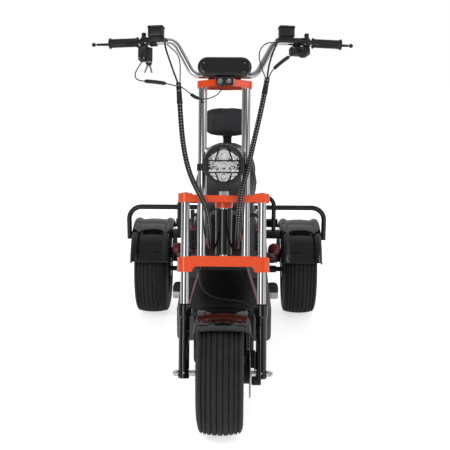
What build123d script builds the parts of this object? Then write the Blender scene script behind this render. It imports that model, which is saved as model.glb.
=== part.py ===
from build123d import *
import math
import os

# Three-wheeled electric scooter: one steered wheel in front, two wheels behind under separate fenders,
# a low floor, a two-person seat, and a tall triple-clamp fork with high handlebars.
# Lengths are in millimetres. +Z is up, the scooter faces -Y, and its left side is +X.
# The origin is on the ground, midway along the length and on the centre plane.

# Driving sizes
tyre_radius = 230.0
tyre_width = 180.0
wheelbase = 1350.0
rear_fender_clearance = 38.0
rear_fender_radius = tyre_radius + rear_fender_clearance
half_track = 378.0
rake = 17.0
steer_offset = 40.0
fit_gap = 0.3
running_gap = 0.08
overrun = 5.0
arc_share = 0.45

overall_length = tyre_radius + wheelbase + rear_fender_radius
front_y = tyre_radius - overall_length / 2
rear_y = front_y + wheelbase
sides = {"left": 1, "right": -1}

parts = {}
fork_frame = Pos(0, front_y, tyre_radius) * Rot(-rake, 0, 0)
front_place = Pos(0, front_y, tyre_radius)


def behind(distance):
    """Y of a place that lies that far behind the front axle."""
    return front_y + distance


def rod(start, end, radius):
    """Round bar between two points."""
    start, end = Vector(*start), Vector(*end)
    return extrude(Plane(origin=start, z_dir=end - start) * Circle(radius), (end - start).length)


def bent_tube(points, radius, bend):
    """Round tube along straight runs joined by arcs of one radius."""
    path = FilletPolyline(*[Vector(*p) for p in points], radius=bend)
    return sweep(Plane(origin=path @ 0, z_dir=path % 0) * Circle(radius), path=path)


def arc_tube(points, radius, place):
    """Round tube whose arcs are as large as the shorter run beside each corner allows."""
    p = [Vector(*q) for q in points]
    radii = []
    for a, b, c in zip(p, p[1:], p[2:]):
        half_turn = math.radians((b - a).get_angle(c - b)) / 2
        radii.append(arc_share * min((b - a).length, (c - b).length) / math.tan(half_turn))
    path = FilletPolyline(*p, radius=radii)
    tube = sweep(Plane(origin=path @ 0, z_dir=path % 0) * Circle(radius), path=path)
    share = tube.volume / (math.pi * radius**2 * path.length)
    print("tube length", round(path.length), "least radius", round(min(radii)), "volume share", round(share, 4))
    return place * tube


def lying(radius, length, x=0.0, y=0.0, z=0.0):
    """Cylinder with its axis along X, centred at the point."""
    return Pos(x, y, z) * Rot(0, 90, 0) * Cylinder(radius, length)


def lying_span(radius, low, high, y=0.0, z=0.0):
    """Cylinder with its axis along X, from low to high."""
    return lying(radius, high - low, (low + high) / 2, y, z)


def upright(radius, low, high, x=0.0, y=0.0):
    """Cylinder along Z from low to high."""
    return Pos(x, y, (low + high) / 2) * Cylinder(radius, high - low)


def block(x_low, x_high, y_low, y_high, z_low, z_high):
    """Box between two corners."""
    centre = ((x_low + x_high) / 2, (y_low + y_high) / 2, (z_low + z_high) / 2)
    return Pos(*centre) * Box(x_high - x_low, y_high - y_low, z_high - z_low)


def side_slab(points, half_width):
    """Slab across X whose side outline is a list of (y, z) points."""
    return extrude(Plane.YZ * make_face(Polyline(*points, close=True)), half_width, both=True)


def front_slab(points, y_low, y_high):
    """Slab along Y whose front outline, mirrored about the centre plane, is a list of (x, z) points."""
    outline = points + [(-x, z) for x, z in reversed(points)]
    face = Plane.XZ * make_face(Polyline(*outline, close=True))
    return Pos(0, y_high, 0) * extrude(face, y_high - y_low)


def plan_slab(points, z_low, z_high):
    """Slab along Z whose plan, mirrored about the centre plane, is a list of (y, x) points."""
    outline = [(x, y) for y, x in points] + [(-x, y) for y, x in reversed(points)]
    return Pos(0, 0, z_low) * extrude(make_face(Polyline(*outline, close=True)), z_high - z_low)


# Wheels. A wheel is made about the X axis at the origin.
tread_drop = 9.0
tread_flat_half = 30.0
shoulder_half = 76.0
bulge_drop = 38.0
side_bulge_radius = tyre_radius - bulge_drop
bead_half = 68.0
tyre_section = 80.0
rim_radius = tyre_radius - tyre_section
tyre_wall = 11.0
rim_wall = 6.0
rim_flange = 10.0
rim_flange_width = 5.0
rim_drop = 16.0
rim_well_half = 34.0
spoke_count = 6
spoke_width = 30.0
spoke_depth = 22.0
spoke_face_half = 46.0
hub_radius = 42.0
hub_half = 86.0
axle_radius = 7.0


tyre_sides = 60


def tyre_solid():
    """Hollow tyre in flat facets, so that it stays light. The ribs of its tread are not cut."""
    half = tyre_width / 2
    outer = [
        (bead_half, rim_radius + fit_gap), (bead_half, rim_radius + rim_flange + fit_gap),
        (half, side_bulge_radius), (shoulder_half, tyre_radius - tread_drop), (tread_flat_half, tyre_radius),
    ]
    inner = [
        (bead_half - tyre_wall, rim_radius + fit_gap), (half - tyre_wall, side_bulge_radius),
        (shoulder_half - tyre_wall, tyre_radius - tread_drop - tyre_wall),
    ]
    points = outer + [(-x, r) for x, r in reversed(outer)] + [(-x, r) for x, r in inner] + inner[::-1]
    rings = []
    for n in range(tyre_sides):
        angle = 2 * math.pi * n / tyre_sides
        rings.append([Vector(x, r * math.sin(angle), r * math.cos(angle)) for x, r in points])
    faces = []
    for ring, after in zip(rings, rings[1:] + rings[:1]):
        for j in range(len(points)):
            k = (j + 1) % len(points)
            faces.append(Face(Wire.make_polygon([ring[j], ring[k], after[k], after[j]], close=True)))
    tyre = Solid(Shell(faces))
    return tyre.fix() if tyre.volume < 0 else tyre


def rim_solid():
    half = bead_half
    lip = half + rim_flange_width
    drop_half = rim_well_half - rim_drop / 2
    outline = [
        (lip, rim_radius + rim_flange), (half + fit_gap, rim_radius + rim_flange),
        (half + fit_gap, rim_radius), (rim_well_half, rim_radius),
        (drop_half, rim_radius - rim_drop), (0, rim_radius - rim_drop),
        (0, rim_radius - rim_drop - rim_wall), (drop_half + rim_wall / 2, rim_radius - rim_drop - rim_wall),
        (rim_well_half + rim_wall / 2, rim_radius - rim_wall), (lip, rim_radius - rim_wall),
    ]
    face = make_face(Polyline(*outline, close=True))
    barrel = revolve(face, Axis.X) + revolve(mirror(face, Plane.YZ), Axis.X)
    spokes = []
    reach = rim_radius - rim_wall / 2 - hub_radius / 2
    for side in sides.values():
        for n in range(spoke_count):
            arm = Pos(side * (spoke_face_half - spoke_depth / 2), 0, hub_radius / 2 + reach / 2)
            spokes.append(Rot(360 * n / spoke_count, 0, 0) * arm * Box(spoke_depth, spoke_width, reach))
    return barrel + spokes + lying(hub_radius, 2 * hub_half)


wheel_shift = 12.0
disc_radius = 90.0
disc_thickness = 4.0
disc_x = 104.0
disc_carrier_radius = 38.0
disc_hole_count = 10
disc_hole_radius = 5.0
disc_hole_pitch = 72.0

# The front wheel sits a little towards the scooter's right, which makes room for the disc.
parts["front_tyre"] = front_place * Pos(-wheel_shift, 0, 0) * tyre_solid()
disc_seat = disc_x - disc_thickness / 2
front_rim = Pos(-wheel_shift, 0, 0) * rim_solid()
front_rim += lying_span(disc_carrier_radius, hub_half - wheel_shift - overrun, disc_seat)
front_rim -= lying(axle_radius + running_gap, 4 * hub_half)
parts["front_rim"] = front_place * front_rim
disc = lying(disc_radius, disc_thickness, disc_x) - lying(axle_radius + running_gap, 2 * disc_thickness, disc_x)
for n in range(disc_hole_count):
    spot = Rot(360 * n / disc_hole_count, 0, 0) * Pos(disc_x, 0, disc_hole_pitch)
    disc -= spot * Rot(0, 90, 0) * Cylinder(disc_hole_radius, 2 * disc_thickness)
parts["front_brake_disc"] = front_place * disc

shaft_radius = 13.0
shaft_inner_x = 200.0
for side, sign in sides.items():
    place = Pos(sign * half_track, rear_y, tyre_radius)
    parts[f"{side}_rear_tyre"] = place * tyre_solid()
    shaft_length = half_track - shaft_inner_x
    parts[f"{side}_rear_rim"] = place * (rim_solid() + lying(shaft_radius, shaft_length, -sign * shaft_length / 2))

# Fork, made in the fork's frame: X across, Y backwards, Z up along the tubes, from the axle.
tube_radius = 16.5
outer_x = 146.0
inner_x = 83.0
leg_radius = 20.4
leg_bottom = -19.0
leg_rise = 27.0
leg_top = tyre_radius + leg_rise
collar_radius = 24.2
collar_height = 40.0
collar_taper = 8.0
lug_height = 30.0
lug_groove = 4.0
groove_depth = 2.5
tube_depth_in_leg = 70.0
lower_clamp_s = 423.0
middle_clamp_s = 664.0
top_clamp_s = 1100.0
clamp_height = 40.0
clamp_end_height = 56.0
clamp_end_shift = 15.0
clamp_end_radius = 29.0
clamp_end_inner = 104.0
clamp_end_ramp = 16.0
clamp_hub_radius = 48.0
clamp_hub_back = 20.0
middle_height = 26.0
middle_end_height = 34.0
middle_end_inner = 112.0
middle_end_ramp = 10.0
top_height = 27.0
top_end_radius = 22.0
top_hub_radius = 46.0
top_hub_ahead = 14.0
stem_radius = 15.0
head_radius = 32.5
head_wall = 6.0
bearing_height = 14.0
bearing_gap = 5.0
boss_height = 19.0
boss_radius = 35.5
nut_radius = 18.5
nut_height = 20.0

lower_low = lower_clamp_s - clamp_height / 2
lower_high = lower_clamp_s + clamp_height / 2
end_high = lower_clamp_s + clamp_end_shift
end_low = end_high - clamp_end_height
half_span = outer_x + clamp_end_radius
middle_low = middle_clamp_s - middle_end_height / 2
middle_high = middle_clamp_s + middle_end_height / 2
plate_high = middle_low + middle_height
top_low = top_clamp_s - top_height / 2
top_high = top_clamp_s + top_height / 2


def clamp_plan(end_x, end_radius, hub_radius_, hub_y, low, high):
    """Clamp seen along the tubes: two end bosses and a middle one, joined by straight tangents."""
    ends = Pos(-end_x, 0) * Circle(end_radius) + Pos(end_x, 0) * Circle(end_radius)
    shape = make_hull((ends + Pos(0, hub_y) * Circle(hub_radius_)).edges())
    return Pos(0, 0, low) * extrude(shape, high - low)


def through(x, y, radius, low, high):
    return upright(radius, low - overrun, high + overrun, x, y)


# Lower clamp: deep end bosses, and a bridge between them that is arched below
lower_front = [
    (clamp_end_inner, lower_low), (clamp_end_inner + clamp_end_ramp / 2, lower_low - clamp_end_ramp / 4),
    (clamp_end_inner + clamp_end_ramp, end_low), (half_span, end_low), (half_span, end_high),
    (clamp_end_inner, lower_high),
]
lower_clamp = clamp_plan(outer_x, clamp_end_radius, clamp_hub_radius, clamp_hub_back, end_low, lower_high)
lower_clamp &= front_slab(lower_front, -half_span, half_span)
for sign in sides.values():
    lower_clamp -= through(sign * outer_x, 0, tube_radius + fit_gap, end_low, lower_high)
    lower_clamp -= upright(tube_radius + fit_gap, lower_clamp_s, lower_high + overrun, sign * inner_x)
lower_clamp -= upright(stem_radius + fit_gap, lower_low, lower_high + overrun, 0, steer_offset)
parts["lower_clamp"] = fork_frame * lower_clamp

# Middle clamp, with the cup that closes the head tube's top
middle_front = [
    (half_span, middle_low), (half_span, middle_high),
    (middle_end_inner + middle_end_ramp, middle_high), (middle_end_inner, plate_high),
]
middle_clamp = clamp_plan(outer_x, clamp_end_radius, clamp_hub_radius, clamp_hub_back, middle_low, middle_high)
middle_clamp &= front_slab(middle_front, -half_span, half_span)
middle_clamp += Pos(0, steer_offset, middle_low - boss_height / 2) * Cone(head_radius, boss_radius, boss_height)
for x in (-outer_x, -inner_x, inner_x, outer_x):
    middle_clamp -= through(x, 0, tube_radius + fit_gap, middle_low, middle_high)
middle_clamp -= through(0, steer_offset, stem_radius + fit_gap, middle_low - boss_height, middle_high)
parts["middle_clamp"] = fork_frame * middle_clamp

# Top clamp: a short crescent plate that ties the inner tubes
top_clamp = clamp_plan(inner_x, top_end_radius, top_hub_radius, -top_hub_ahead, top_low, top_high)
for sign in sides.values():
    top_clamp -= upright(tube_radius + fit_gap, top_low - overrun, top_clamp_s, sign * inner_x)
parts["top_clamp"] = fork_frame * top_clamp

tube_top = middle_high + 2 * fit_gap
tube_foot = leg_top - tube_depth_in_leg
taper_low = leg_top - collar_height - collar_taper
groove_low = leg_bottom + lug_height
fork_tubes, inner_tubes, legs = [], [], []
for sign in sides.values():
    x = sign * outer_x
    fork_tubes.append(fork_frame * upright(tube_radius, tube_foot, tube_top, x))
    inner_tubes.append(
        fork_frame * upright(tube_radius, lower_clamp_s + fit_gap, top_clamp_s - fit_gap, sign * inner_x)
    )
    leg = upright(leg_radius, leg_bottom, taper_low, x)
    leg -= upright(leg_radius + overrun, groove_low, groove_low + lug_groove, x)
    leg += upright(leg_radius - groove_depth, groove_low, groove_low + lug_groove, x)
    leg += Pos(x, 0, taper_low + collar_taper / 2) * Cone(leg_radius, collar_radius, collar_taper)
    leg += upright(collar_radius, leg_top - collar_height, leg_top, x)
    leg -= upright(tube_radius + fit_gap, tube_foot - fit_gap, leg_top + overrun, x)
    leg -= lying(axle_radius + fit_gap, 4 * leg_radius, x)
    legs.append(fork_frame * leg)
parts["fork_tubes"] = Compound(fork_tubes)
parts["inner_tubes"] = Compound(inner_tubes)
parts["fork_legs"] = Compound(legs)

nut_low = plate_high + fit_gap
stem = upright(stem_radius, lower_low + fit_gap, nut_low + nut_height / 2, 0, steer_offset)
stem += Pos(0, steer_offset, nut_low) * extrude(RegularPolygon(nut_radius, 6), nut_height)
parts["steering_stem"] = fork_frame * stem

# Front axle with its spacers and nuts
axle_half = 188.0
spacer_radius = 11.5
axle_nut_radius = 12.0
axle_nut_width = 11.0
leg_inner = outer_x - leg_radius
leg_outer = outer_x + leg_radius
disc_face = disc_x + disc_thickness / 2
axle = lying(axle_radius, 2 * axle_half)
spacer_spans = (
    (disc_face + fit_gap, leg_inner - fit_gap), (fit_gap - leg_inner, -hub_half - wheel_shift - fit_gap),
    (leg_outer + fit_gap, leg_outer + axle_nut_width), (-leg_outer - axle_nut_width, -leg_outer - fit_gap),
)
for low, high in spacer_spans:
    axle += lying_span(spacer_radius, low, high)
for sign in sides.values():
    nut_place = Pos(sign * (leg_outer + axle_nut_width), 0, 0) * Rot(0, 90, 0)
    axle += nut_place * extrude(RegularPolygon(axle_nut_radius, 6), axle_nut_width / 2, both=True)
parts["front_axle"] = fork_frame * axle

# Front brake calliper: a body that straddles the disc, on a plate behind the left leg
calliper_back = 64.0
calliper_s = 48.0
calliper_length = 66.0
calliper_depth = 34.0
calliper_width = 32.0
calliper_slot = 9.0
carrier_thickness = 6.0
carrier_x = leg_inner - carrier_thickness / 2 - fit_gap
calliper = Pos(disc_x, calliper_back, calliper_s) * Box(calliper_width, calliper_depth, calliper_length)
calliper -= lying(disc_radius + overrun, calliper_slot, disc_x)
calliper += block(
    carrier_x - carrier_thickness / 2, carrier_x + carrier_thickness / 2, -leg_radius,
    calliper_back + calliper_depth / 2, calliper_s - calliper_length / 2, calliper_s + calliper_length / 2,
)
parts["front_calliper"] = fork_frame * calliper

# Front fender: a thin arch about the wheel, held to the fork's collars by two stays
fender_clearance = 20.0
fender_radius = tyre_radius + fender_clearance
fender_half = 103.5
fender_flat_half = 78.0
fender_drop = 12.0
fender_skirt = 34.0
fender_wall = 4.0
fender_front_angle = 30.0
fender_rear_angle = 98.0
stay_width = 22.0


def arch(radius, half, flat_half, drop, skirt, wall, front_angle, rear_angle):
    """Thin arch about X at the origin, from that angle ahead of the top to that angle behind it."""
    outer = [(half, radius - skirt), (half, radius - drop), (flat_half, radius)]
    inner = [
        (half - wall, radius - skirt), (half - wall, radius - drop - wall / 2),
        (flat_half - wall / 2, radius - wall),
    ]
    points = outer + [(-x, z) for x, z in reversed(outer)] + [(-x, z) for x, z in inner] + inner[::-1]
    face = Plane.XZ * make_face(Polyline(*points, close=True))
    turned = revolve(face, Axis.X, revolution_arc=front_angle + rear_angle)
    runs_ahead = turned.center(CenterOf.BOUNDING_BOX).Y < 0
    return Rot(-rear_angle if runs_ahead else front_angle, 0, 0) * turned


front_fender = front_place * arch(
    fender_radius, fender_half, fender_flat_half, fender_drop, fender_skirt, fender_wall,
    fender_front_angle, fender_rear_angle,
)
stay_s = leg_top - collar_height / 2 - stay_width / 2
for sign in sides.values():
    low, high = sorted((sign * (fender_half - fender_wall / 2), sign * (outer_x - collar_radius - fit_gap)))
    front_fender += fork_frame * block(
        low, high, -stay_width / 2, stay_width / 2, stay_s - stay_width / 2, stay_s + stay_width / 2
    )
parts["front_fender"] = front_fender

# Handlebar, in the fork's frame
bar_radius = 12.0
bar_s = 1138.0
bar_back = 4.0
grip_s = 1272.0
bar_low_x = 121.0
bar_high_x = 194.0
bar_bend = 48.0
bar_end_x = 452.0
bar_sweep = 44.0
bar_points = [
    (-bar_end_x, bar_back + bar_sweep, grip_s), (-bar_high_x, bar_back, grip_s), (-bar_low_x, bar_back, bar_s),
    (bar_low_x, bar_back, bar_s), (bar_high_x, bar_back, grip_s), (bar_end_x, bar_back + bar_sweep, grip_s),
]
parts["handlebar"] = fork_frame * bent_tube(bar_points, bar_radius, bar_bend)

bar_clamp_x = 50.0
bar_clamp_width = 26.0
bar_clamp_half = 20.0
bar_clamp_rise = 18.0
bar_clamps = []
for sign in sides.values():
    x = sign * bar_clamp_x
    piece = block(
        x - bar_clamp_width / 2, x + bar_clamp_width / 2, bar_back - bar_clamp_half, bar_back + bar_clamp_half,
        top_high, bar_s + bar_clamp_rise,
    )
    bar_clamps.append(fork_frame * (piece - lying(bar_radius + fit_gap, 2 * bar_clamp_width, x, bar_back, bar_s)))
parts["bar_clamps"] = Compound(bar_clamps)

# What sits on each bar end is made along the bar: local X runs outwards, and local Z up the fork.
bar_slope = math.degrees(math.atan2(bar_sweep, bar_end_x - bar_high_x))
bar_run = (bar_end_x - bar_high_x) / math.cos(math.radians(bar_slope))
grip_radius = 17.0
grip_flange = 21.0
grip_flange_width = 5.0
grip_length = 116.0
perch_u = 84.0
perch_width = 28.0
perch_radius = 18.0
cylinder_half = 9.0
cylinder_ahead = 26.0
lever_pivot_u = 110.0
reservoir_u = {"left": 38.0, "right": 68.0}
reservoir_length = 62.0
reservoir_depth = 44.0
reservoir_low = 12.0
reservoir_height = 46.0
pod_collar_u = 124.0
pod_collar_width = 22.0
pod_radius = 20.0
pod_body = {"left": (49.0, 42.0), "right": (77.0, 68.0)}
pod_depth = 36.0
lever_length = 196.0
lever_radius = 5.5
lever_ball = 8.0
lever_dip = 16.0
lever_bow = 24.0
mirror_hole_radius = 4.0
mirror_hole_depth = 14.0
mirror_boss_radius = 9.0
mirror_boss_height = 36.0


def on_bar(sign):
    """Frame on a bar end. Its Y points backwards on the left end, and forwards on the right end."""
    turn = bar_slope if sign > 0 else 180 - bar_slope
    return fork_frame * Pos(sign * bar_high_x, bar_back, grip_s) * Rot(0, 0, turn)


def ahead_block(sign, u_low, u_high, near, far, z_low, z_high):
    """Box on a bar end, from near to far in front of the bar."""
    low, high = sorted((-sign * near, -sign * far))
    return block(u_low, u_high, low, high, z_low, z_high)


grips, perches, pods, levers = [], [], [], []
for side, sign in sides.items():
    place = on_bar(sign)
    bar_bore = lying(bar_radius + fit_gap, 4 * bar_run)
    grip = lying_span(grip_radius, bar_run - grip_length, bar_run)
    for u in (bar_run - grip_flange_width, bar_run - grip_length):
        grip += lying_span(grip_flange, u, u + grip_flange_width)
    grips.append(place * (grip - bar_bore))

    tank_u = reservoir_u[side]
    perch = lying(perch_radius, perch_width, perch_u)
    perch += ahead_block(
        sign, perch_u - perch_width / 2, perch_u + perch_width / 2, 0, cylinder_ahead, -cylinder_half, cylinder_half
    )
    perch += ahead_block(
        sign, tank_u - reservoir_length / 2, lever_pivot_u, cylinder_ahead - cylinder_half,
        cylinder_ahead + cylinder_half, -cylinder_half, reservoir_low,
    )
    perch += ahead_block(
        sign, tank_u - reservoir_length / 2, tank_u + reservoir_length / 2, cylinder_ahead - reservoir_depth / 2,
        cylinder_ahead + reservoir_depth / 2, reservoir_low, reservoir_low + reservoir_height,
    )
    perches.append(place * (perch - bar_bore))

    body_low, body_height = pod_body[side]
    pod_end = pod_collar_u + pod_collar_width / 2
    pod = lying(pod_radius, pod_collar_width, pod_collar_u)
    pod += ahead_block(
        sign, body_low, pod_end, -pod_depth / 2, pod_depth / 2, -perch_radius - fit_gap - body_height,
        -perch_radius - fit_gap,
    )
    pod += upright(mirror_boss_radius, 0, mirror_boss_height, pod_collar_u)
    pod -= upright(mirror_hole_radius, mirror_boss_height - mirror_hole_depth, mirror_boss_height + overrun, pod_collar_u)
    pods.append(place * (pod - bar_bore))

    far = cylinder_ahead + lever_bow
    start = (lever_pivot_u + lever_radius + fit_gap, -sign * cylinder_ahead, 0)
    knee = (lever_pivot_u + lever_length / 3, -sign * far, -lever_dip)
    tip = (lever_pivot_u + lever_length - lever_ball, -sign * far, -lever_dip)
    lever = Pos(*start) * Sphere(lever_radius) + rod(start, knee, lever_radius)
    lever += Pos(*knee) * Sphere(lever_radius) + rod(knee, tip, lever_radius) + Pos(*tip) * Sphere(lever_ball)
    levers.append(place * lever)
parts["grips"] = Compound(grips)
parts["brake_cylinders"] = Compound(perches)
parts["switch_pods"] = Compound(pods)
parts["brake_levers"] = Compound(levers)

# Instrument: a pill-shaped case above the top clamp, on a plate bolted to the clamp's front
display_width = 206.0
display_height = 76.0
display_depth = 30.0
display_gap = 20.0
plate_half = 34.0
plate_thickness = 5.0
clamp_front = -top_hub_ahead - top_hub_radius
display_s = top_high + display_gap + display_height / 2
display = extrude(SlotOverall(display_width, display_height), display_depth)
display = fillet(display.faces().sort_by(Axis.Z)[0].edges(), display_depth / 4)
display_place = Pos(0, clamp_front + fit_gap, display_s) * Rot(-90, 0, 0)
parts["display"] = fork_frame * display_place * display
parts["display_bracket"] = fork_frame * block(
    -plate_half, plate_half, clamp_front - fit_gap - plate_thickness, clamp_front - fit_gap, top_low, display_s
)

# Headlight: a bucket on two arms, its ring with bars across, and a clear lens
lamp_s = 781.0
lamp_ahead = 50.0
lamp_radius = 72.0
lamp_ring_radius = 77.0
lamp_depth = 62.0
lamp_back_radius = 44.0
lamp_ring_depth = 22.0
lens_thickness = 6.0
lens_radius = 62.0
bowl_depth = 26.0
bowl_radius = 58.0
lamp_bar_width = 5.0
lamp_bar_rows = (-28.0, 16.0)
lamp_strut_radius = 2.5
lamp_struts = (((33.0, 16.0), (17.0, 63.0)), ((31.0, -28.0), (17.0, -63.0)))
arm_height = 26.0
arm_radius = 21.0
arm_thickness = 8.0
# Local Z runs forwards out of the lens, and local Y is up.
lamp_place = Pos(0, -lamp_ahead, lamp_s) * Rot(90, 0, 0)
front = lamp_depth / 2
bucket = upright(lamp_radius, 0, front) + Pos(0, 0, -front / 2) * Cone(lamp_back_radius, lamp_radius, front)
bucket -= Pos(0, 0, front - bowl_depth / 2) * Cone(bowl_radius, lens_radius, bowl_depth)
headlight = lamp_place * bucket
for sign in sides.values():
    x = sign * inner_x
    arm = upright(arm_radius, lamp_s - arm_height / 2, lamp_s + arm_height / 2, x)
    low, high = sorted((sign * (lamp_radius - arm_thickness), sign * (lamp_radius + arm_thickness / 2)))
    arm += block(low, high, -lamp_ahead, 0, lamp_s - arm_height / 2, lamp_s + arm_height / 2)
    headlight += arm - through(x, 0, tube_radius + fit_gap, lamp_s - arm_height, lamp_s + arm_height)
headlight -= lamp_place * Pos(0, 0, front - bowl_depth / 2) * Cone(bowl_radius, lens_radius, bowl_depth)
parts["headlight_shell"] = fork_frame * headlight
lens_low = front + fit_gap
parts["headlight_lens"] = fork_frame * lamp_place * upright(lens_radius, lens_low, lens_low + lens_thickness)
ring = upright(lamp_ring_radius, lens_low, lens_low + lamp_ring_depth)
ring -= through(0, 0, lens_radius + fit_gap, lens_low, lens_low + lamp_ring_depth)
bar_low = lens_low + lens_thickness + fit_gap
for row in lamp_bar_rows:
    ring += block(
        -lens_radius, lens_radius, row - lamp_bar_width / 2, row + lamp_bar_width / 2, bar_low, bar_low + lamp_bar_width
    )
strut_z = bar_low + lamp_strut_radius
for sign in sides.values():
    for (x, y), (far_x, far_y) in lamp_struts:
        ring += rod((sign * x, y, strut_z), (sign * far_x, far_y, strut_z), lamp_strut_radius)
parts["headlight_ring"] = fork_frame * lamp_place * ring

# Steering head and neck. Heights and places from here on are above the ground and behind the front axle.
head_low = lower_high + bearing_gap
head_high = middle_low - boss_height - bearing_gap
head_bore = head_radius - head_wall
neck_radius = 26.0
neck_s = 545.0
neck_back = 345.0
neck_rise = 410.0
neck_z = tyre_radius + neck_rise
head = upright(head_radius, head_low, head_high, 0, steer_offset)
neck_start = (fork_frame * Pos(0, steer_offset + head_bore, neck_s)).position
neck = rod(tuple(neck_start), (0, behind(neck_back), neck_z), neck_radius)
head = fork_frame * head + neck
head -= fork_frame * upright(head_bore, head_low + bearing_height, head_high - bearing_height, 0, steer_offset)
head -= fork_frame * through(0, steer_offset, stem_radius + running_gap, head_low, head_high)
parts["head_tube"] = head

# Floor deck and the battery box below it
deck_rise = 105.0
deck_height = 145.0
deck_top = tyre_radius + deck_rise
deck_low = deck_top - deck_height
deck_half = 200.0
deck_front = 430.0
deck_rear = 1060.0
deck_corner = 24.0
battery_drop = 73.0
battery_low = deck_low - battery_drop
battery_half = 125.0
battery_front = 335.0
battery_rear = 1000.0
battery_corner = 30.0

deck = block(-deck_half, deck_half, behind(deck_front), behind(deck_rear), deck_low, deck_top)
parts["floor_deck"] = fillet(deck.edges().filter_by(Axis.Y).group_by(Axis.Z)[0], deck_corner)
battery = block(-battery_half, battery_half, behind(battery_front), behind(battery_rear), battery_low, deck_top)
battery = fillet(battery.edges().filter_by(Axis.Y).group_by(Axis.Z)[0], battery_corner)
battery -= block(-deck_half, deck_half, behind(deck_front), behind(deck_rear) + overrun, deck_low, deck_top + overrun)
parts["battery_box"] = battery

# Front shroud: its side outline and its half widths, as shares of its length, its height and its widest half
shroud_front = 268.0
shroud_length = 262.0
shroud_height = 440.0
shroud_half = 150.0
shroud_side_shares = (
    # length share, height share
    (0.26, 0.0), (1.0, 0.0), (0.70, 0.25), (0.52, 0.60), (0.40, 1.0), (0.12, 1.0), (0.0, 0.80), (0.0, 0.50),
    (0.13, 0.20),
)
shroud_width_shares = (
    # half width share, height share
    (1.0, 0.0), (0.86, 0.22), (0.66, 0.45), (0.50, 0.66), (0.33, 1.0),
)
shroud = side_slab(
    [(behind(shroud_front + a * shroud_length), deck_top + b * shroud_height) for a, b in shroud_side_shares],
    shroud_half,
)
shroud &= front_slab(
    [(a * shroud_half, deck_top + b * shroud_height) for a, b in shroud_width_shares],
    behind(shroud_front) - overrun, behind(shroud_front + shroud_length) + overrun,
)
shroud -= rod(tuple(neck_start), (0, behind(neck_back), neck_z), neck_radius + fit_gap)
parts["front_shroud"] = shroud

# Seat box under the seat
box_front = 860.0
box_length = 365.0
box_height = 320.0
box_half = 166.0
box_width_shares = ((1.0, 0.0), (0.96, 0.65), (0.78, 1.0))
parts["seat_box"] = front_slab(
    [(a * box_half, deck_top + b * box_height) for a, b in box_width_shares],
    behind(box_front), behind(box_front + box_length),
)

# Seat: a low saddle in front and a raised place behind. Shares of its length, its height and its half width
seat_front = 785.0
seat_length = 675.0
seat_height = 278.0
seat_half = 152.0
seat_low = deck_top + box_height + fit_gap
seat_side_shares = (
    (0.11, 0.0), (0.91, 0.0), (0.99, 0.15), (1.0, 0.51), (0.97, 0.89), (0.88, 0.98), (0.64, 1.0), (0.54, 0.96),
    (0.47, 0.69), (0.41, 0.48), (0.26, 0.46), (0.10, 0.51), (0.02, 0.37), (0.0, 0.15), (0.03, 0.04),
)
seat_width_shares = (
    (0.72, 0.0), (0.96, 0.15), (1.0, 0.28), (0.92, 0.51), (0.80, 0.69), (0.66, 0.89), (0.47, 1.0),
)
seat_plan_shares = (
    # length share, half width share
    (0.0, 0.41), (0.07, 0.63), (0.23, 0.84), (0.41, 1.0), (0.88, 1.0), (0.97, 0.89), (1.0, 0.72),
)
seat = side_slab(
    [(behind(seat_front + a * seat_length), seat_low + b * seat_height) for a, b in seat_side_shares], seat_half
)
seat &= front_slab(
    [(a * seat_half, seat_low + b * seat_height) for a, b in seat_width_shares],
    behind(seat_front) - overrun, behind(seat_front + seat_length) + overrun,
)
seat &= plan_slab(
    [(behind(seat_front + a * seat_length), b * seat_half) for a, b in seat_plan_shares],
    seat_low - overrun, seat_low + seat_height + overrun,
)
parts["seat"] = seat

# Rear frame: cross members that carry the fenders, rails to the floor, the hoop under the seat,
# the guard bars over the fenders, the backrest's post and the plate for the number plate
cross_rise = 217.0
cross_z = tyre_radius + cross_rise
cross_height = 40.0
cross_depth = 34.0
front_cross = 1250.0
rear_cross_gap = 24.0
rear_cross = seat_front + seat_length + rear_cross_gap
fender_half_width = 105.0
rail_x = 190.0
rail_radius = 14.0
rail_rise = 60.0
rail_z = tyre_radius + rail_rise
rail_foot = 24.0
rail_knee = 1130.0
hoop_x = 240.0
hoop_drop = 15.0
hoop_top = seat_low - hoop_drop
hoop_radius = 11.0
hoop_bend = 45.0
guard_radius = 12.5
guard_rise = 88.0
guard_z = tyre_radius + rear_fender_radius + guard_rise
guard_bend = 64.0
guard_drop = 167.0
guard_end = guard_z - guard_drop
pad_drop = 11.0
pad_low = seat_low + seat_height - pad_drop
post_half = 22.0
post_thickness = 12.0
post_overlap = 38.0
post_top = pad_low + post_overlap
shock_x = 240.0
shock_front_rise = 172.0
shock_back_rise = 66.0
shock_front = (1125.0, tyre_radius + shock_front_rise)
shock_back = (1335.0, tyre_radius + shock_back_rise)
pin_radius = 6.0
shock_eye_width = 24.0

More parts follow.
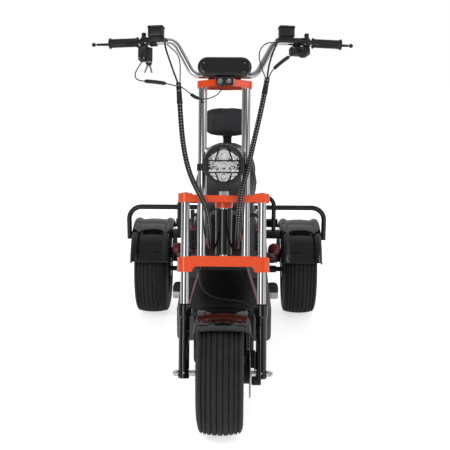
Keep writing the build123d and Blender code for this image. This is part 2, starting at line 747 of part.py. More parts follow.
cross_half = half_track - fender_half_width - fit_gap
guard_x = half_track + fender_half_width + guard_radius + fit_gap
hoop_y = behind(front_cross)
frame = []
for y in (front_cross, rear_cross):
    frame.append(block(
        -cross_half, cross_half, behind(y) - cross_depth / 2, behind(y) + cross_depth / 2,
        cross_z - cross_height / 2, cross_z + cross_height / 2,
    ))
for sign in sides.values():
    x = sign * rail_x
    knots = [
        (x, behind(deck_rear) + fit_gap, rail_z), (x, behind(deck_rear) + rail_foot, rail_z),
        (x, behind(rail_knee), shock_front[1]), (x, behind(front_cross), cross_z), (x, behind(rear_cross), cross_z),
    ]
    for a, b in zip(knots, knots[1:]):
        frame.append(rod(a, b, rail_radius))
    for knot in knots[1:-1]:
        frame.append(Pos(*knot) * Sphere(rail_radius))
    pin_low, pin_high = sorted((sign * rail_x, sign * (shock_x + shock_eye_width)))
    frame.append(lying_span(pin_radius, pin_low, pin_high, behind(shock_front[0]), shock_front[1]))
    frame.append(bent_tube(
        [(sign * hoop_x, hoop_y, guard_z), (sign * guard_x, hoop_y, guard_z), (sign * guard_x, hoop_y, guard_end)],
        guard_radius, guard_bend,
    ))
frame.append(bent_tube(
    [(-hoop_x, hoop_y, cross_z), (-hoop_x, hoop_y, hoop_top), (hoop_x, hoop_y, hoop_top), (hoop_x, hoop_y, cross_z)],
    hoop_radius, hoop_bend,
))
post_y = behind(rear_cross)
frame.append(block(
    -post_half, post_half, post_y - post_thickness / 2, post_y + post_thickness / 2, cross_z, post_top
))
licence_half = 100.0
licence_height = 110.0
licence_thickness = 3.0
licence_spacing = 140.0
licence_hole_radius = 3.5
licence_hole_drop = 45.0
licence_rise = 30.0
plate_y = post_y + cross_depth / 2
plate_top = cross_z - cross_height / 2 + licence_rise
licence = block(
    -licence_half, licence_half, plate_y - licence_thickness, plate_y, plate_top - licence_height, plate_top
)
for x in (-licence_spacing / 2, licence_spacing / 2):
    hole = Pos(x, plate_y, plate_top - licence_hole_drop) * Rot(90, 0, 0)
    licence -= hole * Cylinder(licence_hole_radius, 4 * licence_thickness)
frame.append(licence)
parts["rear_frame"] = frame[0] + frame[1:]

# Rear fenders
rear_flat_half = 82.0
rear_drop = 14.0
rear_skirt = 62.0
rear_wall = 4.0
rear_lip_angle = 66.0
rear_tail_angle = 98.0
rear_fenders = []
for sign in sides.values():
    fender = arch(
        rear_fender_radius, fender_half_width, rear_flat_half, rear_drop, rear_skirt, rear_wall,
        rear_lip_angle, rear_tail_angle,
    )
    rear_fenders.append(Pos(sign * half_track, rear_y, tyre_radius) * fender)
parts["rear_fenders"] = Compound(rear_fenders)

# Rear axle: housing tubes, the final drive with the motor, arms forward to the floor, and the shocks' lugs
housing_radius = 19.0
housing_half = 262.0
drive_radius = 68.0
drive_half = 60.0
motor_radius = 62.0
motor_length = 170.0
motor_ahead = 60.0
arm_x = 130.0
swing_width = 28.0
swing_height = 46.0
lug_width = 8.0
lug_half = 11.0
swing_back = behind(deck_rear) + fit_gap
housing = lying(housing_radius, 2 * housing_half, 0, rear_y, tyre_radius)
for sign in sides.values():
    housing -= lying_span(
        shaft_radius + running_gap, *sorted((sign * drive_half, sign * half_track)), rear_y, tyre_radius
    )
housing += lying(drive_radius, 2 * drive_half, 0, rear_y, tyre_radius)
housing += lying(motor_radius, motor_length, 0, rear_y - motor_ahead, tyre_radius)
for sign in sides.values():
    housing += block(
        sign * arm_x - swing_width / 2, sign * arm_x + swing_width / 2, swing_back, rear_y,
        tyre_radius - swing_height / 2, tyre_radius + swing_height / 2,
    )
    eye_inner = shock_x - shock_eye_width / 2 - fit_gap
    low, high = sorted((sign * (eye_inner - lug_width), sign * eye_inner))
    housing += block(
        low, high, behind(shock_back[0]) - lug_half, behind(shock_back[0]) + lug_half,
        tyre_radius + shaft_radius + fit_gap, shock_back[1],
    )
    housing += lying_span(lug_half, low, high, behind(shock_back[0]), shock_back[1])
    pin_low, pin_high = sorted((sign * (eye_inner - lug_width), sign * (shock_x + shock_eye_width)))
    housing += lying_span(pin_radius, pin_low, pin_high, behind(shock_back[0]), shock_back[1])
parts["rear_axle"] = housing

# Rear shocks: a damper with spring seats, and a coil around it
shock_eye_radius = 13.0
damper_radius = 14.0
damper_share = 0.55
shock_rod_radius = 7.0
spring_seat_radius = 32.0
spring_seat_thickness = 8.0
coil_radius = 26.0
wire_radius = 5.0
coil_turns = 6.0
dampers, coils = [], []
for sign in sides.values():
    a = Vector(sign * shock_x, behind(shock_front[0]), shock_front[1])
    b = Vector(sign * shock_x, behind(shock_back[0]), shock_back[1])
    length = (b - a).length
    place = Location(Plane(origin=a, z_dir=b - a, x_dir=(1, 0, 0)))
    seat_low_end = shock_eye_radius
    seat_high_end = shock_eye_radius + spring_seat_thickness
    damper = upright(damper_radius, 0, length * damper_share) + upright(shock_rod_radius, 0, length)
    damper += upright(spring_seat_radius, seat_low_end, seat_high_end)
    damper += upright(spring_seat_radius, length - seat_high_end, length - seat_low_end)
    for z in (0, length):
        eye = Pos(0, 0, z) * Rot(0, 90, 0)
        damper += eye * Cylinder(shock_eye_radius, shock_eye_width)
        damper -= eye * Cylinder(pin_radius + fit_gap, 4 * shock_eye_width)
    dampers.append(place * damper)
    coil_low = seat_high_end + fit_gap + wire_radius
    coil_height = length - 2 * coil_low
    helix = Helix(pitch=coil_height / coil_turns, height=coil_height, radius=coil_radius)
    profile = Plane(origin=helix @ 0, z_dir=helix % 0) * Circle(wire_radius)
    coils.append(place * Pos(0, 0, coil_low) * sweep(profile, path=helix, is_frenet=True))
parts["shock_dampers"] = Compound(dampers)
parts["shock_springs"] = Compound(coils)

# Backrest pad on the post
pad_half = 120.0
pad_height = 145.0
pad_thickness = 46.0
pad_corner = 18.0
pad_back = post_y - post_thickness / 2 - fit_gap
pad = block(-pad_half, pad_half, pad_back - pad_thickness, pad_back, pad_low, pad_low + pad_height)
parts["backrest_pad"] = fillet(pad.edges().filter_by(Axis.Y), pad_corner)

# Foot pegs for the passenger, on the floor's sides
peg_front = 930.0
peg_length = 70.0
peg_rise = 24.0
peg_low = deck_low + peg_rise
peg_height = 61.0
peg_reach = 56.0
peg_round = 18.0
pegs = []
for sign in sides.values():
    low, high = sorted((sign * (deck_half + fit_gap), sign * (deck_half + peg_reach)))
    peg = block(low, high, behind(peg_front), behind(peg_front + peg_length), peg_low, peg_low + peg_height)
    top_edge = peg.edges().filter_by(Axis.Y).group_by(Axis.Z)[-1].sort_by(Axis.X)[-1 if sign > 0 else 0]
    pegs.append(fillet(top_edge, peg_round))
parts["foot_pegs"] = Compound(pegs)

# Tail lamp on the rear cross member
tail_half = 90.0
tail_height = 34.0
tail_depth = 26.0
tail_low = plate_top + fit_gap
parts["tail_lamp"] = block(
    -tail_half, tail_half, plate_y + fit_gap, plate_y + tail_depth,
    tail_low - tail_height / 2, tail_low + tail_height / 2,
)

# Looms and brake hoses. The looms leave the shroud beside the steering head, pass in front of the middle
# clamp and end below the handlebar, where a thin hose goes on to each brake cylinder.
# Their points are places in the fork's frame.
loom_radius = 10.0
hose_radius = 3.5
right_loom_points = [
    (-52, 130.3, 489.5), (-52, 96.8, 479.2), (-52, 49.9, 483.3), (-52, 8.1, 504.6), (-54, -22.8, 540),
    (-57, -38, 588), (-70, -46, 634), (-92, -50, 676), (-115, -54, 720), (-134, -56, 769), (-148, -56, 827),
    (-158, -50, 890), (-165, -40, 960), (-171, -27, 1034), (-177, -12, 1104),
]
left_loom_points = [
    (52, 130.3, 489.5), (52, 96.8, 479.2), (52, 49.9, 483.3), (52, 8.1, 504.6), (53, -22.8, 540),
    (56, -38, 588), (60, -46, 640), (68, -50, 692), (82, -54, 742), (95, -55, 792), (106, -54, 846),
    (118, -51, 900), (131, -45, 958), (143, -36, 1016), (154, -24, 1072), (163, -12, 1124),
]
hose_points = [
    # right lever to the loom, left lever to the loom, and the front brake's hose
    [(-230, -15.4, 1272), (-210, -18, 1267), (-193, -20, 1245), (-184, -19, 1210), (-179, -16, 1162), (-177.2, -11.4, 1105.25)],
    [(200.5, -20.5, 1272), (182, -23, 1266), (168, -23, 1244), (162, -21, 1212), (161, -16, 1172), (163.4, -11.4, 1125.5)],
    [
        (-92, 12, 402.7), (-92, 12, 374), (-90, 22, 343), (-78, 38, 312), (-52, 52, 290), (-18, 60, 278),
        (20, 64, 274), (56, 66, 270), (88, 66, 262), (110, 62, 236), (117, 60, 198), (116, 61, 156),
        (110, 63, 118), (107, 64, 81.3),
    ],
]
parts["right_loom"] = arc_tube(right_loom_points, loom_radius, fork_frame)
parts["left_loom"] = arc_tube(left_loom_points, loom_radius, fork_frame)
parts["brake_hoses"] = Compound([arc_tube(points, hose_radius, fork_frame) for points in hose_points])

os.makedirs("parts", exist_ok=True)
for name, shape in parts.items():
    export_step(shape, f"parts/{name}.step")
whole = Compound(list(parts.values())).bounding_box()
print("box", whole.min, whole.max, "nodes", len(parts))
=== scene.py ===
import bpy
import bmesh
import math
import random
from mathutils import Matrix, Vector
from mathutils.bvhtree import BVHTree


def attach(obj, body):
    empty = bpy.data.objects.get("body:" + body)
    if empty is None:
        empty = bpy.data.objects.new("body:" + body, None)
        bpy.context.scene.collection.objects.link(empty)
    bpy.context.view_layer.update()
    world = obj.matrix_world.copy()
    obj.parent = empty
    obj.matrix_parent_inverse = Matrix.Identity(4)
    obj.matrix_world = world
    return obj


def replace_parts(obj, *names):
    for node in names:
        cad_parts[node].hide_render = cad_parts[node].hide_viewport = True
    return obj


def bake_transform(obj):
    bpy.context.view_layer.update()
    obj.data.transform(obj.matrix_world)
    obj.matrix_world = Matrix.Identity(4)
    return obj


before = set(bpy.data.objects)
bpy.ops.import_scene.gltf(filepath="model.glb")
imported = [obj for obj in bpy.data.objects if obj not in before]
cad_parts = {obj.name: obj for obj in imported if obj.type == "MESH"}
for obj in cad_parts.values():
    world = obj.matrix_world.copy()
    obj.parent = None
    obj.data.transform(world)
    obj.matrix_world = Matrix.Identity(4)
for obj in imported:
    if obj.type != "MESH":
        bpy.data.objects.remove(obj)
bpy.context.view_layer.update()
random.seed(7)
print("frame loaded")

mm = 0.001
tau = 2 * math.pi
frontAxle = Vector((0, -694, 230))
rearAxleY = 656
rakeAngle = math.radians(-17)
# The fork's own place: x across, y backwards, z up the tubes
forkPlace = Matrix.Translation(frontAxle) @ Matrix.Rotation(rakeAngle, 4, "X")
cameraSetup = {"place": (0.0435, -3.729, 1.575), "pitch": 75.83, "roll": 0.26, "turn": 0.680, "lens": 69.2}


def newObject(name, data):
    made = bpy.data.objects.new(name, data)
    bpy.context.collection.objects.link(made)
    return made


def makeCamera():
    data = bpy.data.cameras.new("photoCamera")
    data.lens, data.sensor_width = cameraSetup["lens"], 36
    camera = newObject("photoCamera", data)
    camera.location = cameraSetup["place"]
    look = Matrix.Rotation(math.radians(cameraSetup["turn"]), 3, "Z")
    look = look @ Matrix.Rotation(math.radians(cameraSetup["pitch"]), 3, "X")
    look = look @ Matrix.Rotation(math.radians(cameraSetup["roll"]), 3, "Z")
    camera.rotation_euler = look.to_euler()
    bpy.context.scene.camera = camera


makeCamera()
print("camera placed")


# Shapes are pairs of (vertices in millimetres, faces)
def at(*place):
    return Matrix.Translation(place)


def facing(origin, direction):  # a place whose z looks along the direction
    return Matrix.Translation(origin) @ Vector(direction).to_track_quat("Z", "Y").to_matrix().to_4x4()


def onCircle(radius, share):  # a point at a share of a full turn
    return radius * math.cos(tau * share), radius * math.sin(tau * share)


def span(sign, near, far):  # low and high ends of a run on one side of the middle
    return sorted((sign * near, sign * far))


def joined(*shapes):
    verts, faces = [], []
    for shapeVerts, shapeFaces in shapes:
        base = len(verts)
        verts += shapeVerts
        faces += [tuple(i + base for i in face) for face in shapeFaces]
    return verts, faces


def moved(shape, place):
    return [place @ Vector(v) for v in shape[0]], shape[1]


def gridShape(rows, closeAcross=False, closeAlong=False, capped=False):
    width, count = len(rows[0]), len(rows)
    verts = [Vector(p) for row in rows for p in row]
    faces = []
    for i in range(count if closeAlong else count - 1):
        for j in range(width if closeAcross else width - 1):
            after, nextRow = (j + 1) % width, (i + 1) % count * width
            faces.append((i * width + j, i * width + after, nextRow + after, nextRow + j))
    if capped:
        faces.append(tuple(range(width)))
        faces.append(tuple((count - 1) * width + j for j in range(width)))
    return verts, faces


def turned(profile, segments=40, closed=False):
    rows = []
    for n in range(segments):
        cosine, sine = onCircle(1, n / segments)
        rows.append([(x, r * sine, r * cosine) for x, r in profile])
    return gridShape(rows, closeAcross=closed, closeAlong=True)


def rodShape(radius, low, high, edge=0.8, segments=28):  # along x, with rounded rims
    profile = [(low, 0), (low, radius - edge), (low + 0.3 * edge, radius - 0.3 * edge), (low + edge, radius)]
    profile += [(high - edge, radius), (high - 0.3 * edge, radius - 0.3 * edge), (high, radius - edge), (high, 0)]
    return turned(profile, segments)


def ringShape(outer, inner, low, high, edge=0.8, segments=32):  # a collar along x
    profile = [(low, inner), (low, outer - edge), (low + edge, outer), (high - edge, outer), (high, outer - edge)]
    return turned(profile + [(high, inner)], segments, closed=True)


def boxShape(low, high, edge=1.5, steps=2):
    build = bmesh.new()
    bmesh.ops.create_cube(build, size=1)
    size = Vector(high) - Vector(low)
    middle = (Vector(high) + Vector(low)) / 2
    for v in build.verts:
        v.co = Vector((v.co.x * size.x, v.co.y * size.y, v.co.z * size.z)) + middle
    bmesh.ops.bevel(build, geom=list(build.edges), offset=edge, segments=steps, profile=0.5, affect="EDGES")
    build.verts.index_update()
    shape = [v.co.copy() for v in build.verts], [tuple(v.index for v in f.verts) for f in build.faces]
    build.free()
    return shape


def tubeShape(path, radius, sides=12, flat=1.0, up=None):  # flat squeezes the section sideways
    path = [Vector(p) for p in path]
    fixedUp = Vector(up) if up else None
    rows, lift = [], fixedUp
    for i, point in enumerate(path):
        ahead = (path[min(i + 1, len(path) - 1)] - path[max(i - 1, 0)]).normalized()
        lift = fixedUp or lift or ahead.orthogonal()
        lift = (lift - ahead * lift.dot(ahead)).normalized()
        across = ahead.cross(lift)
        size = radius[i] if isinstance(radius, (list, tuple)) else radius
        ring = [onCircle(size, j / sides) for j in range(sides)]
        rows.append([point + lift * c + across * s * flat for c, s in ring])
    return gridShape(rows, closeAcross=True, capped=True)


def standing(shape):  # turns a shape made about x so that it stands along z
    return moved(shape, Matrix.Rotation(math.radians(-90), 4, "Y"))


# Outline of (x, z) points, and rings of (inset, y) from one face to the other
def puckShape(outline, rings):
    count = len(outline)
    normals = []
    for i in range(count):
        a, b = Vector(outline[i - 1]), Vector(outline[(i + 1) % count])
        normals.append(Vector((b.y - a.y, a.x - b.x)).normalized())
    rows = []
    for inset, depth in rings:
        row = []
        for point, normal in zip(outline, normals):
            q = Vector(point) - normal * inset
            row.append((q.x, depth, q.y))
        rows.append(row)
    return gridShape(rows, closeAcross=True, capped=True)


def slotOutline(width, height, steps=12):  # a pill, anticlockwise seen from -y
    r, half, points = height / 2, width / 2 - height / 2, []
    for centre, start in ((half, -0.25), (-half, 0.25)):
        for n in range(steps + 1):
            x, z = onCircle(r, start + 0.5 * n / steps)
            points.append((centre + x, z))
    return points


def rounder(value, power):  # a power that keeps the sign
    return math.copysign(abs(value) ** power, value)


def roundedOutline(halfWidth, halfHeight, power=4.0, count=48):
    ring = [onCircle(1, n / count) for n in range(count)]
    return [(halfWidth * rounder(c, 2 / power), halfHeight * rounder(s, 2 / power)) for c, s in ring]


def between(table, x):  # straight lines between the (x, y) pairs of a table
    for (x0, y0), (x1, y1) in zip(table, table[1:]):
        if x <= x1:
            return y0 + (y1 - y0) * max(0.0, (x - x0) / (x1 - x0))
    return table[-1][1]


def softStep(low, high, x):
    t = min(1.0, max(0.0, (x - low) / (high - low)))
    return t * t * (3 - 2 * t)


def piece(name, shape, material, place=None, body="steering", sharp=38, keepFaces=False):
    build = bmesh.new()
    corners = [build.verts.new((place @ Vector(v) if place else Vector(v)) * mm) for v in shape[0]]
    for face in shape[1]:
        if len(set(face)) > 2:
            try:
                build.faces.new([corners[i] for i in face])
            except ValueError:
                pass
    bmesh.ops.remove_doubles(build, verts=build.verts, dist=2e-6)
    bmesh.ops.recalc_face_normals(build, faces=build.faces)
    mesh = bpy.data.meshes.new(name)
    build.to_mesh(mesh)
    build.free()
    mesh.polygons.foreach_set("use_smooth", [not keepFaces] * len(mesh.polygons))
    if not keepFaces:
        mesh.set_sharp_from_angle(angle=math.radians(sharp))
    made = newObject(name, mesh)
    mesh.materials.append(material)
    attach(made, body)
    return made


# Shader groups, each built once
def newGroup(name, inputs, outputs):
    tree = bpy.data.node_groups.new(name, "ShaderNodeTree")
    for label, kind, value in inputs:
        socket = tree.interface.new_socket(label, in_out="INPUT", socket_type=kind)
        socket.default_value = value
    for label, kind in outputs:
        tree.interface.new_socket(label, in_out="OUTPUT", socket_type=kind)
    return tree, tree.nodes.new("NodeGroupInput").outputs, tree.nodes.new("NodeGroupOutput").inputs


def addNode(tree, kind, inputs=None, **settings):  # an input is a value, a socket or a node's first output
    node = tree.nodes.new("ShaderNode" + kind)
    for key, value in settings.items():
        setattr(node, key, value)
    for key, value in (inputs or {}).items():
        if isinstance(value, bpy.types.Node):
            value = value.outputs[0]
        if isinstance(value, bpy.types.NodeSocket):
            tree.links.new(value, node.inputs[key])
        else:
            node.inputs[key].default_value = value
    return node


def maths(tree, operation, *values):
    return addNode(tree, "Math", dict(enumerate(values)), operation=operation)


def objectPlace(tree):
    return addNode(tree, "TexCoord").outputs["Object"]


def noiseAt(tree, where, scale, detail):
    return addNode(tree, "TexNoise", {"Vector": where, "Scale": scale, "Detail": detail}).outputs["Fac"]


def mapped(tree, value, fromLow=0.0, fromHigh=1.0, toLow=0.0, toHigh=1.0):
    return addNode(tree, "MapRange", {
        "Value": value, "From Min": fromLow, "From Max": fromHigh, "To Min": toLow, "To Max": toHigh
    })


def coloursMixed(tree, into, out, second, mask):  # the group's colour turns to a second one where the mask says
    share = maths(tree, "MULTIPLY", mask, into["Amount"])
    mix = addNode(tree, "Mix", {"Factor": share, "A": into["Colour"], "B": into[second]}, data_type="RGBA")
    tree.links.new(mix.outputs["Result"], out["Colour"])
    tree.links.new(share.outputs[0], out["Mask"])


white = (1, 1, 1, 1)


def makeColourDrift():  # slow, slight changes of a colour over the surface
    tree, into, out = newGroup(
        "colourDrift",
        [("Colour", "NodeSocketColor", white), ("Scale", "NodeSocketFloat", 12), ("Spread", "NodeSocketFloat", 0.1)],
        [("Colour", "NodeSocketColor"), ("Mask", "NodeSocketFloat")],
    )
    noise = noiseAt(tree, objectPlace(tree), into["Scale"], 5.0)
    swing = maths(tree, "MULTIPLY_ADD", maths(tree, "SUBTRACT", noise, 0.5), into["Spread"], 1.0)
    tinted = addNode(tree, "VectorMath", {0: into["Colour"], "Scale": swing}, operation="SCALE")
    tree.links.new(tinted.outputs[0], out["Colour"])
    tree.links.new(noise, out["Mask"])
    return tree


def makeSurfaceGrain():  # pebbles and fine noise as a height
    tree, into, out = newGroup(
        "surfaceGrain",
        [("Pebble Scale", "NodeSocketFloat", 600), ("Noise Scale", "NodeSocketFloat", 1500),
         ("Noise Share", "NodeSocketFloat", 0.3)],
        [("Height", "NodeSocketFloat")],
    )
    where = objectPlace(tree)
    pebble = addNode(tree, "TexVoronoi", {"Vector": where, "Scale": into["Pebble Scale"]}, feature="SMOOTH_F1")
    noise = noiseAt(tree, where, into["Noise Scale"], 3.0)
    height = maths(tree, "MULTIPLY_ADD", noise, into["Noise Share"], pebble.outputs["Distance"])
    tree.links.new(height.outputs[0], out["Height"])
    return tree


def makeEdgeWear():  # a worn colour where the surface turns sharply
    tree, into, out = newGroup(
        "edgeWear",
        [("Colour", "NodeSocketColor", white), ("Worn Colour", "NodeSocketColor", white),
         ("Width", "NodeSocketFloat", 0.0012), ("Amount", "NodeSocketFloat", 0.5)],
        [("Colour", "NodeSocketColor"), ("Mask", "NodeSocketFloat")],
    )
    soft = addNode(tree, "Bevel", {"Radius": into["Width"]}, samples=4)
    flat = addNode(tree, "NewGeometry").outputs["Normal"]
    same = addNode(tree, "VectorMath", {0: soft, 1: flat}, operation="DOT_PRODUCT").outputs["Value"]
    patch = mapped(tree, noiseAt(tree, objectPlace(tree), 90.0, 6.0), 0.42, 0.6)
    coloursMixed(tree, into, out, "Worn Colour", maths(tree, "MULTIPLY", mapped(tree, same, 0.99, 0.86), patch))
    return tree


def makeRoadDust():  # pale dust that thins out with height above the ground
    tree, into, out = newGroup(
        "roadDust",
        [("Colour", "NodeSocketColor", white), ("Dust Colour", "NodeSocketColor", (0.2, 0.18, 0.15, 1)),
         ("Amount", "NodeSocketFloat", 0.2)],
        [("Colour", "NodeSocketColor"), ("Mask", "NodeSocketFloat")],
    )
    where = objectPlace(tree)
    height = addNode(tree, "SeparateXYZ", {0: where}).outputs["Z"]
    patch = mapped(tree, noiseAt(tree, where, 45.0, 8.0), 0.35, 0.75)
    coloursMixed(tree, into, out, "Dust Colour", maths(tree, "MULTIPLY", mapped(tree, height, 0.5, 0.0), patch))
    return tree


colourDrift, surfaceGrain = makeColourDrift(), makeSurfaceGrain()
edgeWear, roadDust = makeEdgeWear(), makeRoadDust()


def newMaterial(name):
    material = bpy.data.materials.new(name)
    material.use_nodes = True
    return material, material.node_tree, material.node_tree.nodes["Principled BSDF"]


def driftingColour(tree, colour, scale, spread):
    return addNode(tree, "Group", {"Colour": (*colour, 1), "Scale": scale, "Spread": spread}, node_tree=colourDrift)


def finish(name, colour, rough, metal=0.0, drift=(12, 0.12), grain=None, bump=0.0, softEdge=0.0,
           wear=None, dust=0.0, roughSwing=0.0, **more):
    material, tree, shader = newMaterial(name)
    material.diffuse_color = (*colour, 1)
    shader.inputs["Metallic"].default_value = metal
    shader.inputs["Roughness"].default_value = rough
    for key, value in more.items():
        shader.inputs[key.replace("_", " ")].default_value = value

    drifting = driftingColour(tree, colour, *drift)
    last = drifting.outputs["Colour"]
    if wear:
        worn = {"Colour": last, "Worn Colour": (*wear[0], 1), "Amount": wear[1]}
        last = addNode(tree, "Group", worn, node_tree=edgeWear).outputs["Colour"]
    if dust:
        last = addNode(tree, "Group", {"Colour": last, "Amount": dust}, node_tree=roadDust).outputs["Colour"]
    tree.links.new(last, shader.inputs["Base Color"])
    if roughSwing:
        least = max(0.0, rough - roughSwing)
        swing = mapped(tree, drifting.outputs["Mask"], 0.3, 0.7, least, rough + roughSwing)
        tree.links.new(swing.outputs[0], shader.inputs["Roughness"])
    normal = None
    if softEdge:
        normal = addNode(tree, "Bevel", {"Radius": softEdge}, samples=6).outputs[0]
    if grain:
        scales = dict(zip(("Pebble Scale", "Noise Scale", "Noise Share"), grain))
        grained = addNode(tree, "Group", scales, node_tree=surfaceGrain)
        lift = addNode(tree, "Bump", {"Strength": bump, "Distance": 0.001, "Height": grained})
        if normal:
            tree.links.new(normal, lift.inputs["Normal"])
        normal = lift.outputs[0]
    if normal:
        tree.links.new(normal, shader.inputs["Normal"])
    return material


glossBlack = finish("glossBlackPlastic", (0.006, 0.006, 0.0065), 0.07, drift=(9, 0.2), grain=(60, 500, 0.2),
                    bump=0.02, softEdge=0.0015, wear=((0.10, 0.10, 0.10), 0.2), roughSwing=0.02, Coat_Weight=0.5,
                    Coat_Roughness=0.02)
greyPaint = finish("greyBodyPaint", (0.085, 0.080, 0.092), 0.32, drift=(14, 0.12), grain=(900, 2400, 0.4), bump=0.04,
                   softEdge=0.002, roughSwing=0.05, Coat_Weight=0.25, Coat_Roughness=0.15)
orangePaint = finish("orangePaint", (0.88, 0.078, 0.008), 0.26, drift=(20, 0.08), grain=(120, 900, 0.3), bump=0.03,
                     softEdge=0.0018, wear=((0.95, 0.28, 0.12), 0.3), roughSwing=0.04, Coat_Weight=0.8,
                     Coat_Roughness=0.05)
chrome = finish("polishedChrome", (0.70, 0.70, 0.72), 0.06, 1.0, drift=(40, 0.08), grain=(60, 900, 0.3), bump=0.005,
                softEdge=0.0008, roughSwing=0.025)
brightSteel = finish("brightSteel", (0.76, 0.76, 0.77), 0.24, 1.0, drift=(60, 0.12), grain=(300, 1800, 0.5), bump=0.02,
                     softEdge=0.0006, roughSwing=0.08)
discSteel = finish("brushedDisc", (0.42, 0.42, 0.43), 0.3, 1.0, drift=(120, 0.3), grain=(200, 2600, 0.8), bump=0.08)
blackSteel = finish("blackPowderCoat", (0.014, 0.014, 0.015), 0.34, drift=(16, 0.25), grain=(900, 2600, 0.6), bump=0.10,
                    softEdge=0.0012, wear=((0.16, 0.16, 0.16), 0.2), dust=0.08, roughSwing=0.07)
castBlack = finish("castBlackAlloy", (0.03, 0.03, 0.032), 0.42, 0.35, drift=(24, 0.3), grain=(420, 1600, 0.8), bump=0.2,
                   softEdge=0.0012, dust=0.15, roughSwing=0.08)
castAlloy = finish("castAlloy", (0.58, 0.58, 0.59), 0.42, 1.0, drift=(30, 0.3), grain=(420, 1600, 0.8), bump=0.2,
                   softEdge=0.001, dust=0.12, roughSwing=0.1)
# Its colour drift swings widely: random lighter and darker patches of rubber, which also stand in as painted streaks of
# highlight on the tread
tyreRubber = finish("tyreRubber", (0.022, 0.022, 0.0225), 0.62, drift=(16, 1.1), grain=(260, 1400, 0.8), bump=0.2,
                    dust=0.06, roughSwing=0.08, Specular_IOR_Level=0.3)
seatLeather = finish("seatLeathercloth", (0.022, 0.020, 0.024), 0.48, drift=(8, 0.25), grain=(620, 2400, 0.35), bump=0.35,
                     roughSwing=0.07)
gripRubber = finish("gripRubber", (0.016, 0.016, 0.017), 0.6, drift=(40, 0.3), grain=(700, 2200, 0.6), bump=0.2,
                    roughSwing=0.08)
satinPlastic = finish("satinBlackPlastic", (0.014, 0.014, 0.016), 0.36, drift=(30, 0.25), grain=(1100, 3000, 0.5),
                      bump=0.12, softEdge=0.0008, wear=((0.12, 0.12, 0.12), 0.2), roughSwing=0.06)
blackAlloy = finish("blackAnodised", (0.03, 0.03, 0.032), 0.3, 0.6, drift=(30, 0.3), grain=(500, 2600, 0.6), bump=0.05,
                    softEdge=0.0008, wear=((0.4, 0.4, 0.4), 0.3))
shroudPlastic = finish("shroudPlastic", (0.0085, 0.0085, 0.009), 0.30, drift=(9, 0.2), grain=(900, 2400, 0.4),
                       bump=0.012, softEdge=0.0015, roughSwing=0.04)
keySteel = finish("keySteel", (0.30, 0.30, 0.31), 0.35, 1.0, drift=(150, 0.3), grain=(600, 2600, 0.5), bump=0.05)
redPaint = finish("redSpringPaint", (0.11, 0.003, 0.007), 0.28, drift=(30, 0.25), grain=(300, 1200, 0.4), bump=0.04,
                  Coat_Weight=0.4, Coat_Roughness=0.1)
pinstripe = finish("redPinstripe", (0.58, 0.18, 0.16), 0.3, drift=(30, 0.1))
mirrorBowl = finish("reflectorChrome", (0.78, 0.78, 0.79), 0.05, 1.0, drift=(90, 0.05))
ledFace = finish("ledFace", (0.75, 0.68, 0.35), 0.4, drift=(90, 0.2))
brass = finish("brassFitting", (0.24, 0.16, 0.07), 0.32, 1.0, drift=(60, 0.3))
cableJacket = finish("cableJacket", (0.014, 0.014, 0.015), 0.38, drift=(80, 0.3), grain=(900, 2600, 0.5), bump=0.05)
screwSteel = finish("screwSteel", (0.6, 0.6, 0.6), 0.25, 1.0, drift=(150, 0.3), grain=(600, 2600, 0.5), bump=0.05)
redLens = finish("redLens", (0.45, 0.008, 0.01), 0.12, drift=(40, 0.15), Coat_Weight=0.6, Coat_Roughness=0.03)
amberLens = finish("amberLens", (0.85, 0.28, 0.02), 0.14, drift=(40, 0.15), Coat_Weight=0.6, Coat_Roughness=0.03)
satinGloss = finish("glossyCasePlastic", (0.012, 0.012, 0.013), 0.2, drift=(30, 0.25), grain=(500, 2200, 0.5), bump=0.03,
                    softEdge=0.0008, roughSwing=0.05, Coat_Weight=0.3, Coat_Roughness=0.08)
seatThread = finish("seatPiping", (0.022, 0.021, 0.023), 0.5, drift=(60, 0.3), grain=(900, 3000, 0.6), bump=0.2)
screenPanel = finish("screenPanel", (0.035, 0.045, 0.04), 0.2, drift=(60, 0.1))
darkScreen = finish("darkScreen", (0.006, 0.007, 0.009), 0.06, drift=(20, 0.1), Coat_Weight=1.0, Coat_Roughness=0.02)


def makeLampGlass():
    material = finish("lampGlass", (0.97, 0.98, 0.98), 0.02, drift=(30, 0.01), IOR=1.25, Transmission_Weight=1.0)
    tree = material.node_tree
    inShadow = addNode(tree, "LightPath").outputs["Is Shadow Ray"]
    clear = addNode(tree, "BsdfTransparent")
    mix = addNode(tree, "MixShader", {0: inShadow, 1: tree.nodes["Principled BSDF"], 2: clear})
    tree.links.new(mix.outputs[0], tree.nodes["Material Output"].inputs["Surface"])
    return material


lampGlass = makeLampGlass()
cadFinishes = {
    glossBlack: ["head_tube", "fork_legs"],
    shroudPlastic: ["front_shroud", "battery_box"],
    greyPaint: ["floor_deck", "seat_box"],
    orangePaint: ["lower_clamp", "middle_clamp", "top_clamp"],
    chrome: ["fork_tubes", "inner_tubes", "handlebar", "steering_stem", "bar_clamps"],
    brightSteel: ["front_axle"],
    discSteel: ["front_brake_disc"],
    blackSteel: ["rear_frame", "rear_axle", "shock_dampers", "front_calliper"],
    redPaint: ["shock_springs"],
    castBlack: ["front_rim", "left_rear_rim", "right_rear_rim"],
    satinPlastic: ["headlight_shell", "headlight_ring", "tail_lamp"],
    lampGlass: ["headlight_lens"],
}
# Every slot of each listed piece takes the finish it is listed under
for material, nodeNames in cadFinishes.items():
    for nodeName in nodeNames:
        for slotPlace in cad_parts[nodeName].material_slots:
            slotPlace.material = material
print("finishes made")

